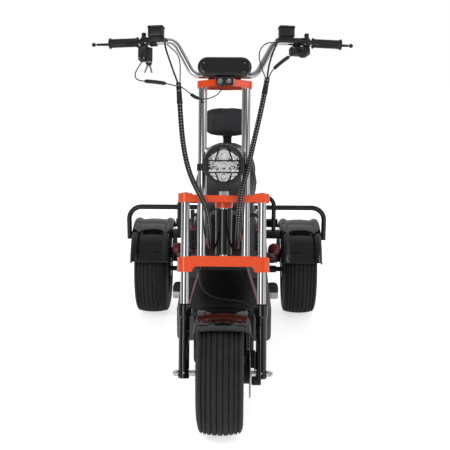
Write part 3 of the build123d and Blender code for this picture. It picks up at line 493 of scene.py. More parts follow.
# Cords: looms that cross the steering, hoses and thin cables, all in the fork's frame
def nurbsSpline(data, points):
    spline = data.splines.new("NURBS")
    spline.points.add(len(points) - 1)
    for target, p in zip(spline.points, points):
        target.co = (*p, 1)
    spline.order_u = 3
    spline.use_endpoint_u = True
    spline.resolution_u = 12


def nurbsPoints(points):
    data = bpy.data.curves.new("route", "CURVE")
    data.dimensions = "3D"
    nurbsSpline(data, points)
    route = bpy.data.objects.new("route", data)
    mesh = bpy.data.meshes.new_from_object(route)
    found = [v.co.copy() for v in mesh.vertices]
    bpy.data.meshes.remove(mesh)
    bpy.data.objects.remove(route)
    bpy.data.curves.remove(data)
    return found


def inFork(points):
    return [forkPlace @ Vector(p) * mm for p in points]


def cable(name, points, radius, length, *nodes):
    data = bpy.data.curves.new(name, "CURVE")
    data.dimensions = "3D"
    data.bevel_depth = radius * mm
    data.bevel_resolution = 3
    data.use_fill_caps = True
    route = inFork(points)
    nurbsSpline(data, route)
    data.materials.append(cableJacket)
    made = newObject(name, data)
    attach(made, "steering")
    if nodes:
        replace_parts(made, *nodes)


def makeBraid():
    tree, into, out = newGroup(
        "braid",
        [("Turns Around", "NodeSocketFloat", 6), ("Turns Along", "NodeSocketFloat", 60)],
        [("Mask", "NodeSocketFloat"), ("Height", "NodeSocketFloat")],
    )
    parts = addNode(tree, "SeparateXYZ", {0: addNode(tree, "TexCoord").outputs["UV"]})
    along = maths(tree, "MULTIPLY", parts.outputs["X"], into["Turns Along"])
    around = maths(tree, "MULTIPLY", parts.outputs["Y"], into["Turns Around"])
    leans = [maths(tree, way, along, around) for way in ("ADD", "SUBTRACT")]
    product = maths(tree, "MULTIPLY", *[maths(tree, "SINE", maths(tree, "MULTIPLY", lean, tau)) for lean in leans])
    # The mask is high on the crests of the weave, where the sleeve gets light grey dots as painted highlights
    tree.links.new(mapped(tree, product, 0.55, 0.85).outputs[0], out["Mask"])
    tree.links.new(mapped(tree, product, -1.0, 1.0).outputs[0], out["Height"])
    return tree


def makeBraidedSleeve():
    material, tree, shader = newMaterial("braidedSleeve")
    shader.inputs["Roughness"].default_value = 0.45
    braid = addNode(tree, "Group", {"Turns Around": 3, "Turns Along": 38}, node_tree=makeBraid())
    dark = driftingColour(tree, (0.006, 0.006, 0.0065), 80, 0.5)
    # Light grey on the weave's crests: painted glints on the black strands
    colours = {"Factor": braid.outputs["Mask"], "A": dark.outputs["Colour"], "B": (0.50, 0.50, 0.51, 1)}
    mix = addNode(tree, "Mix", colours, data_type="RGBA")
    tree.links.new(mix.outputs["Result"], shader.inputs["Base Color"])
    bump = addNode(tree, "Bump", {"Strength": 0.8, "Distance": 0.0015, "Height": braid.outputs["Height"]})
    tree.links.new(bump.outputs[0], shader.inputs["Normal"])
    return material


braidedSleeve = makeBraidedSleeve()
looms = {
    "radius": 10, "sides": 24, "rightLength": 0.764, "leftLength": 0.776,
    "right": [(-52, 130.3, 489.5), (-52, 96.8, 479.2), (-52, 49.9, 483.3), (-52, 8.1, 504.6), (-54, -22.8, 540),
              (-57, -38, 588), (-70, -46, 634), (-92, -50, 676), (-115, -54, 720), (-134, -56, 769), (-148, -56, 827),
              (-158, -50, 890), (-165, -40, 960), (-171, -27, 1034), (-177, -12, 1104)],
    "left": [(52, 130.3, 489.5), (52, 96.8, 479.2), (52, 49.9, 483.3), (52, 8.1, 504.6), (53, -22.8, 540),
             (56, -38, 588), (60, -46, 640), (68, -50, 692), (82, -54, 742), (95, -55, 792), (106, -54, 846),
             (118, -51, 900), (131, -45, 958), (143, -36, 1016), (154, -24, 1072), (163, -12, 1124)],
}
for side, sign in (("right", -1), ("left", 1)):
    path = nurbsPoints(inFork(looms[side]))
    ringCount, sides = len(path), looms["sides"]
    verts, faces = tubeShape(path, looms["radius"] * mm, sides)
    mesh = bpy.data.meshes.new(side + "BraidedLoom")
    mesh.from_pydata(verts, [], faces)
    mesh.polygons.foreach_set("use_smooth", [True] * len(mesh.polygons))
    grain = mesh.uv_layers.new(name="braid")
    for face in mesh.polygons:
        columns = [mesh.loops[n].vertex_index % sides for n in face.loop_indices]
        for n in face.loop_indices:
            row, column = divmod(mesh.loops[n].vertex_index, sides)
            wrap = column == 0 and sides - 1 in columns
            grain.data[n].uv = (row / (ringCount - 1), 1.0 if wrap else column / sides)
    mesh.materials.append(braidedSleeve)
    made = newObject(side + "BraidedLoom", mesh)
    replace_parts(made, side + "_loom")
    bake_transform(made)

hoses = {
    "radius": 3.5,
    "rightLever": [(-230, -15.4, 1272), (-231, -19, 1254), (-224, -21, 1226), (-211, -20, 1190), (-197, -17, 1150),
                   (-186, -14, 1122), (-179, -11.4, 1102)],
    "leftLever": [(200.5, -20.5, 1272), (197, -23, 1254), (186, -24, 1228), (175, -22, 1196), (166, -17, 1160),
                  (163.4, -11.4, 1125.5)],
    "front": [(-92, 12, 402.7), (-92, 12, 374), (-90, 22, 343), (-78, 38, 312), (-52, 52, 290), (-18, 60, 278),
              (20, 64, 274), (56, 66, 270), (88, 66, 262), (110, 62, 236), (117, 60, 198), (116, 61, 156),
              (110, 63, 118), (107, 64, 81.3)],
}
for name, length in (("rightLever", 183), ("leftLever", 154), ("front", 466)):
    cable(name + "BrakeHose", hoses[name], hoses["radius"], length, "brake_hoses")
print("cords made")

# Tyres: ribs all round, with small notches at the shoulders
tyreSize = {
    "radius": 230, "crownDrop": 9, "shoulderHalf": 76, "grooves": (11.5, 34, 53.5, 70), "grooveHalf": 2.8,
    "grooveDepth": 5.5, "notchDepth": 1.6, "notchEvery": 4, "segments": 192,
    "side": [(79.5, 219), (83, 214.5), (86.2, 208.5), (88.6, 201), (89.9, 193), (89.6, 192), (89.6, 190), (89.9, 189),
             (89.2, 182), (87, 175), (83.5, 169), (79, 164.5), (74, 161.6), (68.4, 160.7), (68, 150.6)],
    "inner": [(58, 150.6), (62, 165), (76, 178), (79, 192), (72, 208), (40, 216), (0, 219)],
}


def tyreShape(wide, shift):  # wide scales its width, and shift moves its tread across the bead
    size = tyreSize
    arc = (size["shoulderHalf"] ** 2 + size["crownDrop"] ** 2) / (2 * size["crownDrop"])
    half = size["grooveHalf"]
    places = {0.0, size["shoulderHalf"]}
    for groove in size["grooves"]:
        places |= {groove + away for step in (half / 2, half, half + 0.8) for away in (-step, step)}
    tread = []
    for x in sorted(places):
        radius = size["radius"] - arc + math.sqrt(arc ** 2 - x ** 2)
        for groove in size["grooves"]:
            radius -= size["grooveDepth"] * (1 - softStep(half * 0.5, half, abs(x - groove)))
        tread.append((x, radius))
    half = tread + size["side"] + size["inner"]
    profile = half + [(-x, r) for x, r in reversed(half[1:-1])]
    rows = []
    for n in range(size["segments"]):
        cosine, sine = onCircle(1, n / size["segments"])
        notch = 0.0 if n % size["notchEvery"] else size["notchDepth"]
        row = []
        for x, r in profile:
            if 72 < abs(x) < 87 and r > 205:
                r -= notch
            share = softStep(161, 195, r)
            row.append((x * (1 + (wide - 1) * share) + shift * share, r * sine, r * cosine))
        rows.append(row)
    return gridShape(rows, closeAcross=True, closeAlong=True)


treads = {"front": (0.945, 6.0), "leftRear": (0.94, 0.0), "rightRear": (0.94, -5.0)}
wheels = {"front": ((-12, -694, 230), "front_wheel", "front_tyre"),
          "leftRear": ((378, rearAxleY, 230), "left_rear_wheel", "left_rear_tyre"),
          "rightRear": ((-378, rearAxleY, 230), "right_rear_wheel", "right_rear_tyre")}
for label, (centre, body, node) in wheels.items():
    tyre = tyreShape(*treads[label])
    made = piece(label + "RibbedTyre", tyre, tyreRubber, Matrix.Translation(centre), body=body, sharp=50)
    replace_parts(made, node)
print("tyres made")


# Fenders: shells swept about an axle, from a section of (x, rise) points over the crown
def archShape(section, size, relief=None, steps=72):
    half = section + [(-x, rise) for x, rise in reversed(section[:-1])]
    radius, wall = size["radius"], size["wall"]
    rows = []
    for n in range(steps + 1):
        angle = math.radians(-size["front"] + (size["front"] + size["back"]) * n / steps)
        outer = []
        for x, rise in half:
            outer.append(Vector((x, radius + rise + (relief(x, math.degrees(angle)) if relief else 0))))
        inner = []
        for i, point in enumerate(outer):
            run = outer[min(i + 1, len(outer) - 1)] - outer[max(i - 1, 0)]
            inner.append(point + Vector((-run.y, run.x)).normalized() * wall)
        row = outer + inner[::-1]
        rows.append([(p.x, p.y * math.sin(angle), p.y * math.cos(angle)) for p in row])
    return gridShape(rows, closeAcross=True, capped=True)


def archEdge(section, size):  # a rolled lip along both skirts and both ends
    half = section + [(-x, rise) for x, rise in reversed(section[:-1])]
    front, back = -size["front"], size["back"]

    def onArch(x, rise, degrees):
        r = size["radius"] - size["lipInset"] + rise
        return Vector((x, r * math.sin(math.radians(degrees)), r * math.cos(math.radians(degrees))))

    degrees = [front + (back - front) * n / 60 for n in range(61)]
    loop = [onArch(*half[0], d) for d in degrees] + [onArch(x, rise, back) for x, rise in half[1:]]
    loop += [onArch(*half[-1], d) for d in reversed(degrees[:-1])]
    loop += [onArch(x, rise, front) for x, rise in reversed(half[1:-1])]
    return tubeShape(loop + [loop[0]], size["lip"], 8)


rearFender = {"radius": 268, "front": 66, "back": 98, "wall": 4, "lip": 3.2, "lipInset": 2, "panelHalf": 62,
              "panelTop": -25, "panelDrop": 3.6}
rearSection = [(105, -62), (105, -50), (105, -36), (104.8, -24), (103.6, -15), (101, -9), (97, -4.5), (92, -1.6),
               (86, 0.4), (80, 1), (74, 0.2), (69, -2.2), (65, -5), (60, -6.8), (54, -7.2), (44, -6.4), (30, -5.2),
               (15, -4.4), (0, -4.1)]


def rearRelief(x, degrees):
    size = rearFender
    arched = size["panelTop"] - 5 * (x / size["panelHalf"]) ** 4
    inside = softStep(4, -4, abs(x) - size["panelHalf"]) * softStep(3.2, -3.2, degrees - arched)
    inside *= softStep(-63.5, -61, degrees)
    return -size["panelDrop"] * inside


shell = joined(archShape(rearSection, rearFender, rearRelief, 120), archEdge(rearSection, rearFender))
for label in ("left", "right"):
    centre = wheels[label + "Rear"][0]
    made = piece(label + "RearFenderShell", shell, glossBlack, at(*centre), body="frame", sharp=60)
    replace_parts(made, "rear_fenders")

frontFender = {"radius": 250, "front": 28.4, "back": 98, "wall": 4, "lip": 2.6, "lipInset": 2, "stay": (101, 121.2),
               "stayHalf": 10, "stayHeights": (224, 250)}
frontSection = [(103.5, -34), (103.5, -28), (103.3, -22), (102, -18), (99, -14), (95, -10.5), (91, -7.6), (88, -6.6),
                (84, -6.4), (79, -5.8), (70, -4.2), (55, -2.4), (38, -1), (20, -0.2), (0, 0)]
size = frontFender
shell = joined(archShape(frontSection, size), archEdge(frontSection, size))
for sign in (1, -1):
    (low, high), half, (foot, top) = span(sign, *size["stay"]), size["stayHalf"], size["stayHeights"]
    stay = moved(boxShape((low, -half, foot), (high, half, top), 3, 3), forkPlace)
    shell = joined(shell, moved(stay, Matrix.Translation(-frontAxle)))
made = piece("frontFenderShell", shell, glossBlack, Matrix.Translation(frontAxle), sharp=60)
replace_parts(made, "front_fender")
print("fenders made")

# Headlight: seven faceted bowls behind the lens, and the ring with its bars
lampPlace = forkPlace @ at(0, -50, 781) @ Matrix.Rotation(math.radians(90), 4, "X")
lamp = {"bowlRadius": 20, "bowlPitch": 40, "bowlDepth": 15, "bowlFront": 24, "facets": 14, "ringOuter": 77,
        "ringInner": 62.3, "ringLow": 31.3, "ringHigh": 53.3, "bars": (-28, 16), "barHalf": 2.6}


def bowlShape():
    size = lamp
    verts, faces, count = [], [], size["facets"]
    shares = (0.12, 0.32, 0.52, 0.72, 0.88, 1.0)
    for i, share in enumerate(shares):
        z = size["bowlFront"] - size["bowlDepth"] * (1 - share ** 2)
        verts += [(*onCircle(size["bowlRadius"] * share, (n + i % 2 / 2) / count), z) for n in range(count)]
    for i in range(len(shares) - 1):
        for n in range(count):
            a, b = i * count + n, i * count + (n + 1) % count
            c, d = a + count, b + count
            faces += [(a, b, c), (b, d, c)] if i % 2 == 0 else [(a, b, d), (a, d, c)]
    return verts, faces


spots = [(0, 0)] + [onCircle(lamp["bowlPitch"], (n + 0.5) / 6) for n in range(6)]
bowls = joined(*[moved(bowlShape(), at(x, y, 0) @ Matrix.Rotation(0.4 * i, 4, "Z")) for i, (x, y) in enumerate(spots)])
piece("headlightBowls", bowls, mirrorBowl, lampPlace, keepFaces=True)
backing = joined(
    standing(ringShape(60, 4, 8.5, 11, 0.5, 48)),
    *[moved(standing(ringShape(21.5, 19.6, 20, 24.6, 0.4, 28)), at(x, y, 0)) for x, y in spots],
)
piece("headlightBacking", backing, mirrorBowl, lampPlace)
leds = joined(*[moved(boxShape((-3, -3, 8.5), (3, 3, 11.5), 0.8), at(x, y, 0)) for x, y in spots])
piece("headlightDiodes", leds, ledFace, lampPlace)


def ringWithBars():
    size = lamp
    low, high, outer, inner = size["ringLow"], size["ringHigh"], size["ringOuter"], size["ringInner"]
    profile = [(low, inner), (low, outer - 1.5), (low + 1.5, outer), (high - 8, outer), (high - 3.5, outer - 1.2),
               (high - 1, outer - 3.4), (high, outer - 6), (high, inner + 4), (high - 1.2, inner + 1.2), (high - 3, inner)]
    shapes = [standing(turned(profile, 72, closed=True))]
    for row in size["bars"]:
        reach = math.sqrt((inner + 2) ** 2 - row ** 2)
        shapes.append(boxShape((-reach, row - size["barHalf"], 37.6), (reach, row + size["barHalf"], 43.5), 1.2, 3))
    for sign in (1, -1):
        for near, far in (((33, 16), (17, 63)), ((31, -28), (17, -63))):
            shapes.append(tubeShape([(sign * near[0], near[1], 40.3), (sign * far[0], far[1], 40.3)], 2.6, 12))
        left, right = span(sign, 50, 61)
        shapes.append(boxShape((left, -16, 38.4), (right, 5, 41.4), 1.0))
    return joined(*shapes)


made = piece("headlightRing", ringWithBars(), satinPlastic, lampPlace)
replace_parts(made, "headlight_ring")


def screwShape(radius, height):  # a round head along +z with a hexagonal recess
    rows, count, recess = [], 24, 0.45 * radius
    for r, z in ((radius, 0), (radius, 0.6), (radius * 0.88, 1)):
        rows.append([(*onCircle(r, n / count), z * height) for n in range(count)])
    for r, z in ((recess * 1.2, 1), (recess, 0.96), (recess, 0.35), (0.02, 0.3)):
        row = []
        for n in range(count):
            local = (tau * n / count % (tau / 6)) - tau / 12
            row.append((*onCircle(r * math.cos(tau / 12) / math.cos(local), n / count), z * height))
        rows.append(row)
    return gridShape(rows, closeAcross=True, capped=True)


def hexShape(radius, height, edge=0.8):  # a hexagonal nut or bolt head along +z
    rings = ((0, 0), (0, height - edge), (edge, height), (radius * 0.45, height))
    rows = [[(*onCircle(radius - inset, n / 6), z) for n in range(6)] for inset, z in rings]
    return gridShape(rows, closeAcross=True, capped=True)


lampScrews = joined(*[moved(screwShape(3.2, 2.2), at(sign * 55, -6, 41.4)) for sign in (1, -1)])
piece("headlightScrews", lampScrews, screwSteel, lampPlace)


def sectorShape(inner, outer, start, end, low, high, steps=28):  # part of a flat ring about z
    rows = []
    for n in range(steps + 1):
        share = (start + (end - start) * n / steps) / 360
        near, far = onCircle(inner, share), onCircle(outer, share)
        rows.append([(*near, low), (*far, low), (*far, high), (*near, high)])
    return gridShape(rows, closeAcross=True, capped=True)


# A bright steel arc with two ears just behind the ring: a painted highlight standing for the glinting top edge of a
# black plate there
hoodGlintStrip = joined(
    sectorShape(72.3, 81, 22, 158, 20, 24),
    boxShape((52, 50, 20), (72, 68, 24), 1.2), boxShape((-72, 50, 20), (-52, 68, 24), 1.2),
)
piece("headlightEdgeGlintStrip", hoodGlintStrip, brightSteel, lampPlace)
shellDetail = joined(
    *[standing(ringShape(r + 0.9, r - 2, z, z + 2.2, 0.6, 48)) for r, z in ((72, 4), (72, 12), (72, 25))],
    standing(rodShape(9, -45, -31, 1.5)),
)
piece("headlightShellRibs", shellDetail, satinPlastic, lampPlace)
print("headlight made")

# Instrument: rounded case, screen towards the rider, four screws towards the front
display = {"width": 206, "height": 76, "front": -59.7, "middle": 1160, "boltsAt": (16.5, -65.3, 1103),
           "screws": ((-78, 13), (76, 13), (-80, -21), (74, -22)),
            "panels": ((-34, -4, 34, 16), (-62, -6, -46, 8), (46, -6, 62, 8))}
size, middle = display, at(0, 0, display["middle"])
outline = slotOutline(size["width"], size["height"], 16)
rings = [(24, -59.0), (17, -59.7), (11, -59.2), (6, -57.6), (2.6, -54.4), (0.8, -50), (0, -45), (0, -38.2),
         (1.2, -37.6), (1.2, -36.8), (0, -36.2), (0, -32.4), (1.4, -30.4), (4, -29.7), (7, -29.9), (8, -31.4)]
case = moved(puckShape(outline, rings), middle)
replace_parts(piece("displayCase", case, satinGloss, forkPlace, sharp=50), "display")
outline = slotOutline(size["width"] - 18, size["height"] - 18, 16)
screen = moved(puckShape(outline, [(0, -32), (0, -31.2), (1.5, -30.8), (8, -30.6)]), middle)
piece("displayScreen", screen, darkScreen, forkPlace)
marks = [boxShape((left, -30.9, low), (right, -30.5, high), 0.15, 1) for left, low, right, high in size["panels"]]
piece("displayPanels", moved(joined(*marks), middle), screenPanel, forkPlace)
screws = [moved(screwShape(3.0, 1.6), facing((x, size["front"] + 1.0, size["middle"] + s), (0, -1, 0)))
          for x, s in size["screws"]]
x, ahead, s = size["boltsAt"]
boltsAt = [facing((sign * x, ahead, s), (0, -1, 0)) for sign in (-1, 1)]
bolts = [moved(screwShape(7.0, 5.0), boltAt) for boltAt in boltsAt]
bolts += [moved(screwShape(4.5, 5), at(x, v, 1156)) for x in (-50, 50) for v in (-10, 18)]
washers = [moved(standing(ringShape(9.5, 5, 0, 1.2, 0.3)), boltAt) for boltAt in boltsAt]
piece("displayScrews", joined(*screws, *bolts, *washers), screwSteel, forkPlace)
bracket = joined(
    boxShape((-34, -65.3, 1086.5), (34, -60.3, 1119.5), 1.5), boxShape((-34, -64.6, 1114.5), (34, -36, 1119.5), 1.5),
)
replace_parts(piece("displayBracketPlate", bracket, blackSteel, forkPlace), "display_bracket")
print("instrument made")

# Controls on each bar end: u runs outwards, a ahead, h up
controls = {
    "gripStart": 145.7, "gripEnd": 261.7, "gripRadius": 17, "flange": 21, "gripRibs": 13,
    "tankAt": {1: 38, -1: 68}, "tankHalf": 31, "ahead": 26, "perchAt": 84, "pivotAt": 110,
    "lever": [(112, 27, 0), (122, 29, -2.4), (136, 34.5, -7), (154, 43, -12.5), (176, 50, -16.4), (205, 53, -18.5),
              (240, 52.4, -18), (270, 50.6, -16.6), (288, 50, -16)],
    "leverReach": {1: 0.94, -1: 1.06},
    "leverHeight": [9.0, 8.6, 8.0, 7.6, 7.2, 6.4, 5.6, 5.0, 4.4],
}


def barEnd(sign):
    turn = math.atan2(44, 258)
    turn = Matrix.Rotation(turn if sign > 0 else math.pi - turn, 4, "Z")
    return forkPlace @ at(sign * 194, 4, 1272) @ turn @ Matrix.Diagonal((1, -sign, 1, 1))


def gripShape():
    size = controls
    low, high, r, flange = size["gripStart"], size["gripEnd"], size["gripRadius"], size["flange"]
    profile = [(low, 12.3), (low, flange - 1.5), (low + 1.2, flange), (low + 4, flange - 0.6), (low + 6, r + 0.4)]
    start, end = low + 14, high - 14
    pitch = (end - start) / size["gripRibs"]
    profile.append((start - 1, r))
    for n in range(size["gripRibs"]):
        x = start + n * pitch
        profile += [(x, r - 1.3), (x + pitch * 0.22, r - 1.3), (x + pitch * 0.38, r), (x + pitch * 0.85, r)]
    profile += [(end, r), (high - 6, r + 0.4), (high - 4.5, flange - 0.6), (high - 1.4, flange), (high, flange - 1.6),
                (high, 6), (high - 1.5, 5), (high - 1.5, 0)]
    return turned(profile, 40)


def tankShape(tankAt):
    half = controls["tankHalf"]

    def block(inset, low, high):
        outline = roundedOutline(half - inset, 22 - inset, 7, 56)
        rings = [(1.6, low), (0.4, low + 0.6), (0, low + 1.8), (0, high - 1.8), (0.5, high - 0.6), (1.8, high), (10, high)]
        return moved(puckShape(outline, rings), Matrix.Rotation(math.radians(90), 4, "X"))  # its depth becomes its height

    return moved(joined(block(1.6, 12, 43), block(0, 43.7, 52)), at(tankAt, controls["ahead"], 0))


for sign, side in ((1, "left"), (-1, "right")):
    place, size = barEnd(sign), controls
    tank, ahead, pivot, perchAt = size["tankAt"][sign], size["ahead"], size["pivotAt"], size["perchAt"]
    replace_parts(piece(side + "Grip", gripShape(), gripRubber, place), "grips")
    perch = joined(
        ringShape(18, 12.3, perchAt - 14, perchAt + 14, 1.5),
        boxShape((perchAt - 13, 6, -9), (perchAt + 13, ahead - 1, 9), 2.5, 3),
        moved(rodShape(9, tank - 31, 104, 1.6), at(0, ahead, 0)),
        boxShape((tank - 24, ahead - 9, 4), (tank + 24, ahead + 9, 13), 2),
        *[boxShape((92, 17, h), (120, 36, h + 4), 1.6) for h in (6.2, -10.2)],
    )
    made = piece(side + "BrakeCylinder", joined(perch, tankShape(tank)), satinPlastic, place)
    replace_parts(made, "brake_cylinders")
    small = [moved(screwShape(3, 1.6), at(tank + d, ahead, 52)) for d in (-22, 22)]
    small += [moved(screwShape(4.6, 2.4), at(pivot, ahead, 10.2)),
              moved(hexShape(5, 3.4), facing((pivot, ahead, -10.2), (0, 0, -1)))]
    small += [moved(screwShape(3.4, 3), facing((perchAt, ahead - 1, h), (0, 1, 0))) for h in (-5, 5)]
    piece(side + "ControlScrews", joined(*small), screwSteel, place)
    banjo = joined(ringShape(7.2, 4, tank - 37.5, tank - 31.5, 0.8, 24), rodShape(4.4, tank - 43, tank - 31, 0.8, 6))
    piece(side + "HoseFitting", moved(banjo, at(0, ahead, 0)), brass, place)
    reach = size["leverReach"][sign]
    path = nurbsPoints([(pivot + (u - pivot) * reach, a, h) for u, a, h in size["lever"]])
    heights = [(n / 8, height) for n, height in enumerate(size["leverHeight"])]
    blade = tubeShape(path, [between(heights, i / 96) for i in range(97)], 16, 0.52, up=(0, 0, 1))
    ball = moved(turned([onCircle(8, n / 28) for n in range(15)], 28), at(pivot + 188 * reach, 50, -16))
    lever = joined(blade, moved(standing(rodShape(7.6, -6, 6, 1.0)), at(pivot, ahead, 0)), ball)
    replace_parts(piece(side + "BrakeLever", lever, blackAlloy, place), "brake_levers")


def podBox(uLow, uHigh, hLow, hHigh, half=18):  # a moulded box with soft corners, parted along its middle
    outline = roundedOutline((uHigh - uLow) / 2, (hHigh - hLow) / 2, 5.0, 48)
    front = [(9, 0.4 - half), (5, -half), (2.2, 1.2 - half), (0.6, 3.4 - half), (0, 6.5 - half), (0, -0.9), (0.9, -0.5)]
    rings = front + [(inset, -depth) for inset, depth in reversed(front)]
    return moved(puckShape(outline, rings), at((uLow + uHigh) / 2, 0, (hLow + hHigh) / 2))


def post(radius, low, high, edge, u, ahead=0):  # a round post that stands along h
    return moved(standing(rodShape(radius, low, high, edge)), at(u, ahead, 0))


def podShape(sign):
    collar = ringShape(20, 12.3, 113, 135, 2.5)
    boss = moved(standing(ringShape(9, 4, 15, 36, 1.2, 28)), at(124, 0, 0))
    if sign > 0:
        horn = moved(rodShape(8, -3, 26, 2.0), at(96, 6, -30) @ Matrix.Rotation(math.radians(90), 4, "Z"))
        lobes = [podBox(56, 135, -52, -17), post(14, -58, -40, 4, 108, 4), post(10, -54, -40, 3, 70, 4), horn]
    else:
        lobes = [podBox(109, 143, -76, -17), podBox(108, 134, -30, -10, 20), post(13.5, -80, -24, 3, 101, 4)]
    return joined(collar, boss, post(8.8, 12, 22, 0.5, 124), *lobes)


podScrewsAt = {1: ((66, -24), (124, -46)), -1: ((134, -66), (118, -66))}
for sign, side in ((1, "left"), (-1, "right")):
    place = barEnd(sign)
    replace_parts(piece(side + "SwitchPod", podShape(sign), satinPlastic, place), "switch_pods")
    slider = boxShape((104, -22.5, -44), (124, -17, -34), 1.5)
    piece(side + "Slider", slider, gripRubber, place)
    button = moved(rodShape(6, 0, 5, 1.2), at(112, -17.5, -26) @ Matrix.Rotation(math.radians(-90), 4, "Z"))
    piece(side + "Button", button, redLens if sign < 0 else amberLens, place)
    screws = [moved(screwShape(2.6, 1.2), facing((u, 18, h), (0, 1, 0))) for u, h in podScrewsAt[sign]]
    screws.append(moved(screwShape(3.4, 2), facing((124, 19, 8), (0, 1, 0.4))))
    piece(side + "PodScrews", joined(*screws), screwSteel, place)

# Two keys fanned out below the lock, each an outline of (x, z) points cut at its teeth
keys = {
    "place": (101, 4, -82), "fan": (17, -22), "halfThick": 1.1, "apart": 3.4,
    "teeth": [(-4, 0), (4, 0), (4, -7), (2.6, -10), (3.8, -13.5), (2.2, -17), (3.8, -20.5), (2.6, -25), (3.6, -29.5),
              (0.5, -36), (-3, -32)],
}
place, size = barEnd(-1), keys
half = size["halfThick"]
blade = puckShape([(x, z - 9) for x, z in reversed(size["teeth"])],
                  [(0.3, -half), (0, 0.3 - half), (0, half - 0.3), (0.3, half)])
head = puckShape(roundedOutline(10.5, 9, 3.0, 28), [(1.2, -2.6), (0, -1.6), (0, 1.6), (1.2, 2.6)])
blades, heads = [], []
for n, lean in enumerate(size["fan"]):
    u, ahead, h = size["place"]
    keyPlace = at(u, ahead + size["apart"] * n, h) @ Matrix.Rotation(math.radians(lean), 4, "Y")
    blades.append(moved(blade, keyPlace))
    heads.append(moved(head, keyPlace @ at(0, 0, -3)))
piece("keyBlades", joined(*blades), keySteel, place)
piece("keyHeads", joined(*heads), satinPlastic, place)
barrel = moved(standing(ringShape(11, 5, -82.5, -79, 0.8)), at(101, 4, 0))
piece("ignitionBarrel", barrel, chrome, place)
print("controls made")

# Thin cables between the controls, the instrument and the looms
thinCables = {
    "radius": 2.2,
    "rightPod": [(-318, 20, 1200), (-331, 10, 1176), (-346, 0, 1146), (-343, -8, 1122), (-323, -12, 1112),
                 (-285, -14, 1110), (-245, -16, 1105), (-208, -16, 1099), (-184, -14, 1092)],
    "rightSwitch": [(-222, -4, 1255), (-206, -12, 1240), (-186, -16, 1222), (-173, -14, 1196), (-170, -12, 1150),
                    (-172, -11, 1100)],
    "instrument": [(-2, -62, 1108), (-4, -66, 1084), (-18, -66, 1056), (-48, -60, 1038), (-84, -52, 1034),
                   (-112, -44, 1044), (-134, -36, 1062), (-154, -26, 1080), (-174, -14, 1094)],
    "leftLoop": [(192, -16, 1262), (170, -24, 1262), (147, -27, 1250), (132, -27, 1226), (131, -25, 1198),
                 (139, -21, 1168), (150, -16, 1142), (159, -12, 1118)],
    "leftPod": [(286, -2, 1228), (276, -12, 1224), (258, -18, 1215), (236, -20, 1201), (214, -20, 1184),
                (193, -18, 1166), (175, -15, 1146), (166, -12, 1118)],
}
cableLengths = {"rightPod": 242, "rightSwitch": 175, "instrument": 235, "leftLoop": 190, "leftPod": 170}
for name, length in cableLengths.items():
    cable(name + "Cable", thinCables[name], thinCables["radius"], length)


def sleeveAt(points, start, end, radius):  # a moulded connector on a cable, from one share of its length to another
    path = nurbsPoints(points)
    run = path[int(len(path) * start):int(len(path) * end)]
    sizes = [radius * (1.12 if i % 4 < 2 else 1.0) for i in range(len(run))]
    sizes[0] = sizes[-1] = radius * 0.55
    sizes[1] = sizes[-2] = radius * 0.8
    return tubeShape(run, sizes, 16)


connectors = {"rightPod": (0.56, 0.87, 7.0), "instrument": (0.56, 0.76, 6.4), "leftPod": (0.34, 0.80, 6.6)}
sleeves = joined(*[sleeveAt(thinCables[name], *facts) for name, facts in connectors.items()])
piece("cableConnectors", sleeves, satinPlastic, forkPlace)
boots = []
for side in ("right", "left"):
    run = nurbsPoints(looms[side])[-10:]
    boots.append(tubeShape(run, [11.4 - 0.25 * i for i in range(len(run))], 20))
piece("loomBoots", joined(*boots), gripRubber, forkPlace)
print("cables made")

# Fork and brake: caps, pinch bolts, calliper bolts and washers
fork = {"outer": 146, "inner": 83, "stemBack": 40, "pinchAt": 160, "pinchHeights": (396, 426), "calliperBack": 64}
bright, dark = [], []
for sign in (1, -1):
    outer, inner, pinch = sign * fork["outer"], sign * fork["inner"], sign * fork["pinchAt"]
    bright.append(moved(standing(ringShape(14.5, 5, 680, 684.5, 1.0)), at(outer, 0, 0)))
    bright.append(moved(hexShape(8, 3.5), at(outer, 0, 683)))
    for s in fork["pinchHeights"]:  # pinch bolts in the lower clamp's ends
        bright.append(moved(screwShape(5, 4), facing((pinch, 27.5, s), (sign * 0.15, 1, 0))))
    bright.append(moved(screwShape(4.5, 4), facing((pinch, 27.5, 662), (sign * 0.15, 1, 0))))
    bright.append(moved(screwShape(4.5, 3.6), at(inner, 0, 1113.5)))
    bright.append(moved(standing(ringShape(8, 4, 1113.4, 1115, 0.4)), at(inner, 0, 0)))
    bright.append(moved(screwShape(4, 3), facing((outer, -19.6, 3), (0, -1, 0))))
    dark.append(moved(standing(ringShape(21.6, 16.7, 257, 262, 1.8)), at(outer, 0, 0)))
bright.append(moved(standing(ringShape(19.4, 15.4, 673.2, 675, 0.4)), at(0, fork["stemBack"], 0)))
bright += [moved(hexShape(6, 4.5), facing((125.3, fork["calliperBack"], s), (1, 0, 0))) for s in (28, 68)]
bright.append(moved(screwShape(4.2, 4), facing((111, 81, 66), (0, 1, 0))))
bright.append(moved(standing(rodShape(3, 0, 9, 0.8)), at(97, 66, 79)))
piece("forkBolts", joined(*bright), screwSteel, forkPlace)
piece("forkWipers", joined(*dark), gripRubber, forkPlace)
washers = joined(
    ringShape(15, 7.4, 166.6, 168.6, 0.5), ringShape(15, 7.4, -168.6, -166.6, 0.5), ringShape(9.2, 7.1, 188, 189.5, 0.4),
)
piece("axleWashers", washers, screwSteel, forkPlace)
foot = boxShape((110, 12, -46), (147, 35, -14), 5, 3)
piece("calliperFoot", foot, satinPlastic, forkPlace)
pads = joined(*[boxShape((x, 50, 24), (x + 2.2, 78, 64), 0.6) for x in (99.4, 106.4)])
piece("brakePads", pads, satinPlastic, forkPlace)

def boltCircle(head, sign, x, radius, count=5):  # heads that look along x, on a circle about the axle
    places = [onCircle(radius, n / count) for n in range(count)]
    return joined(*[moved(head, facing((sign * x, across, up), (sign, 0, 0))) for up, across in places])


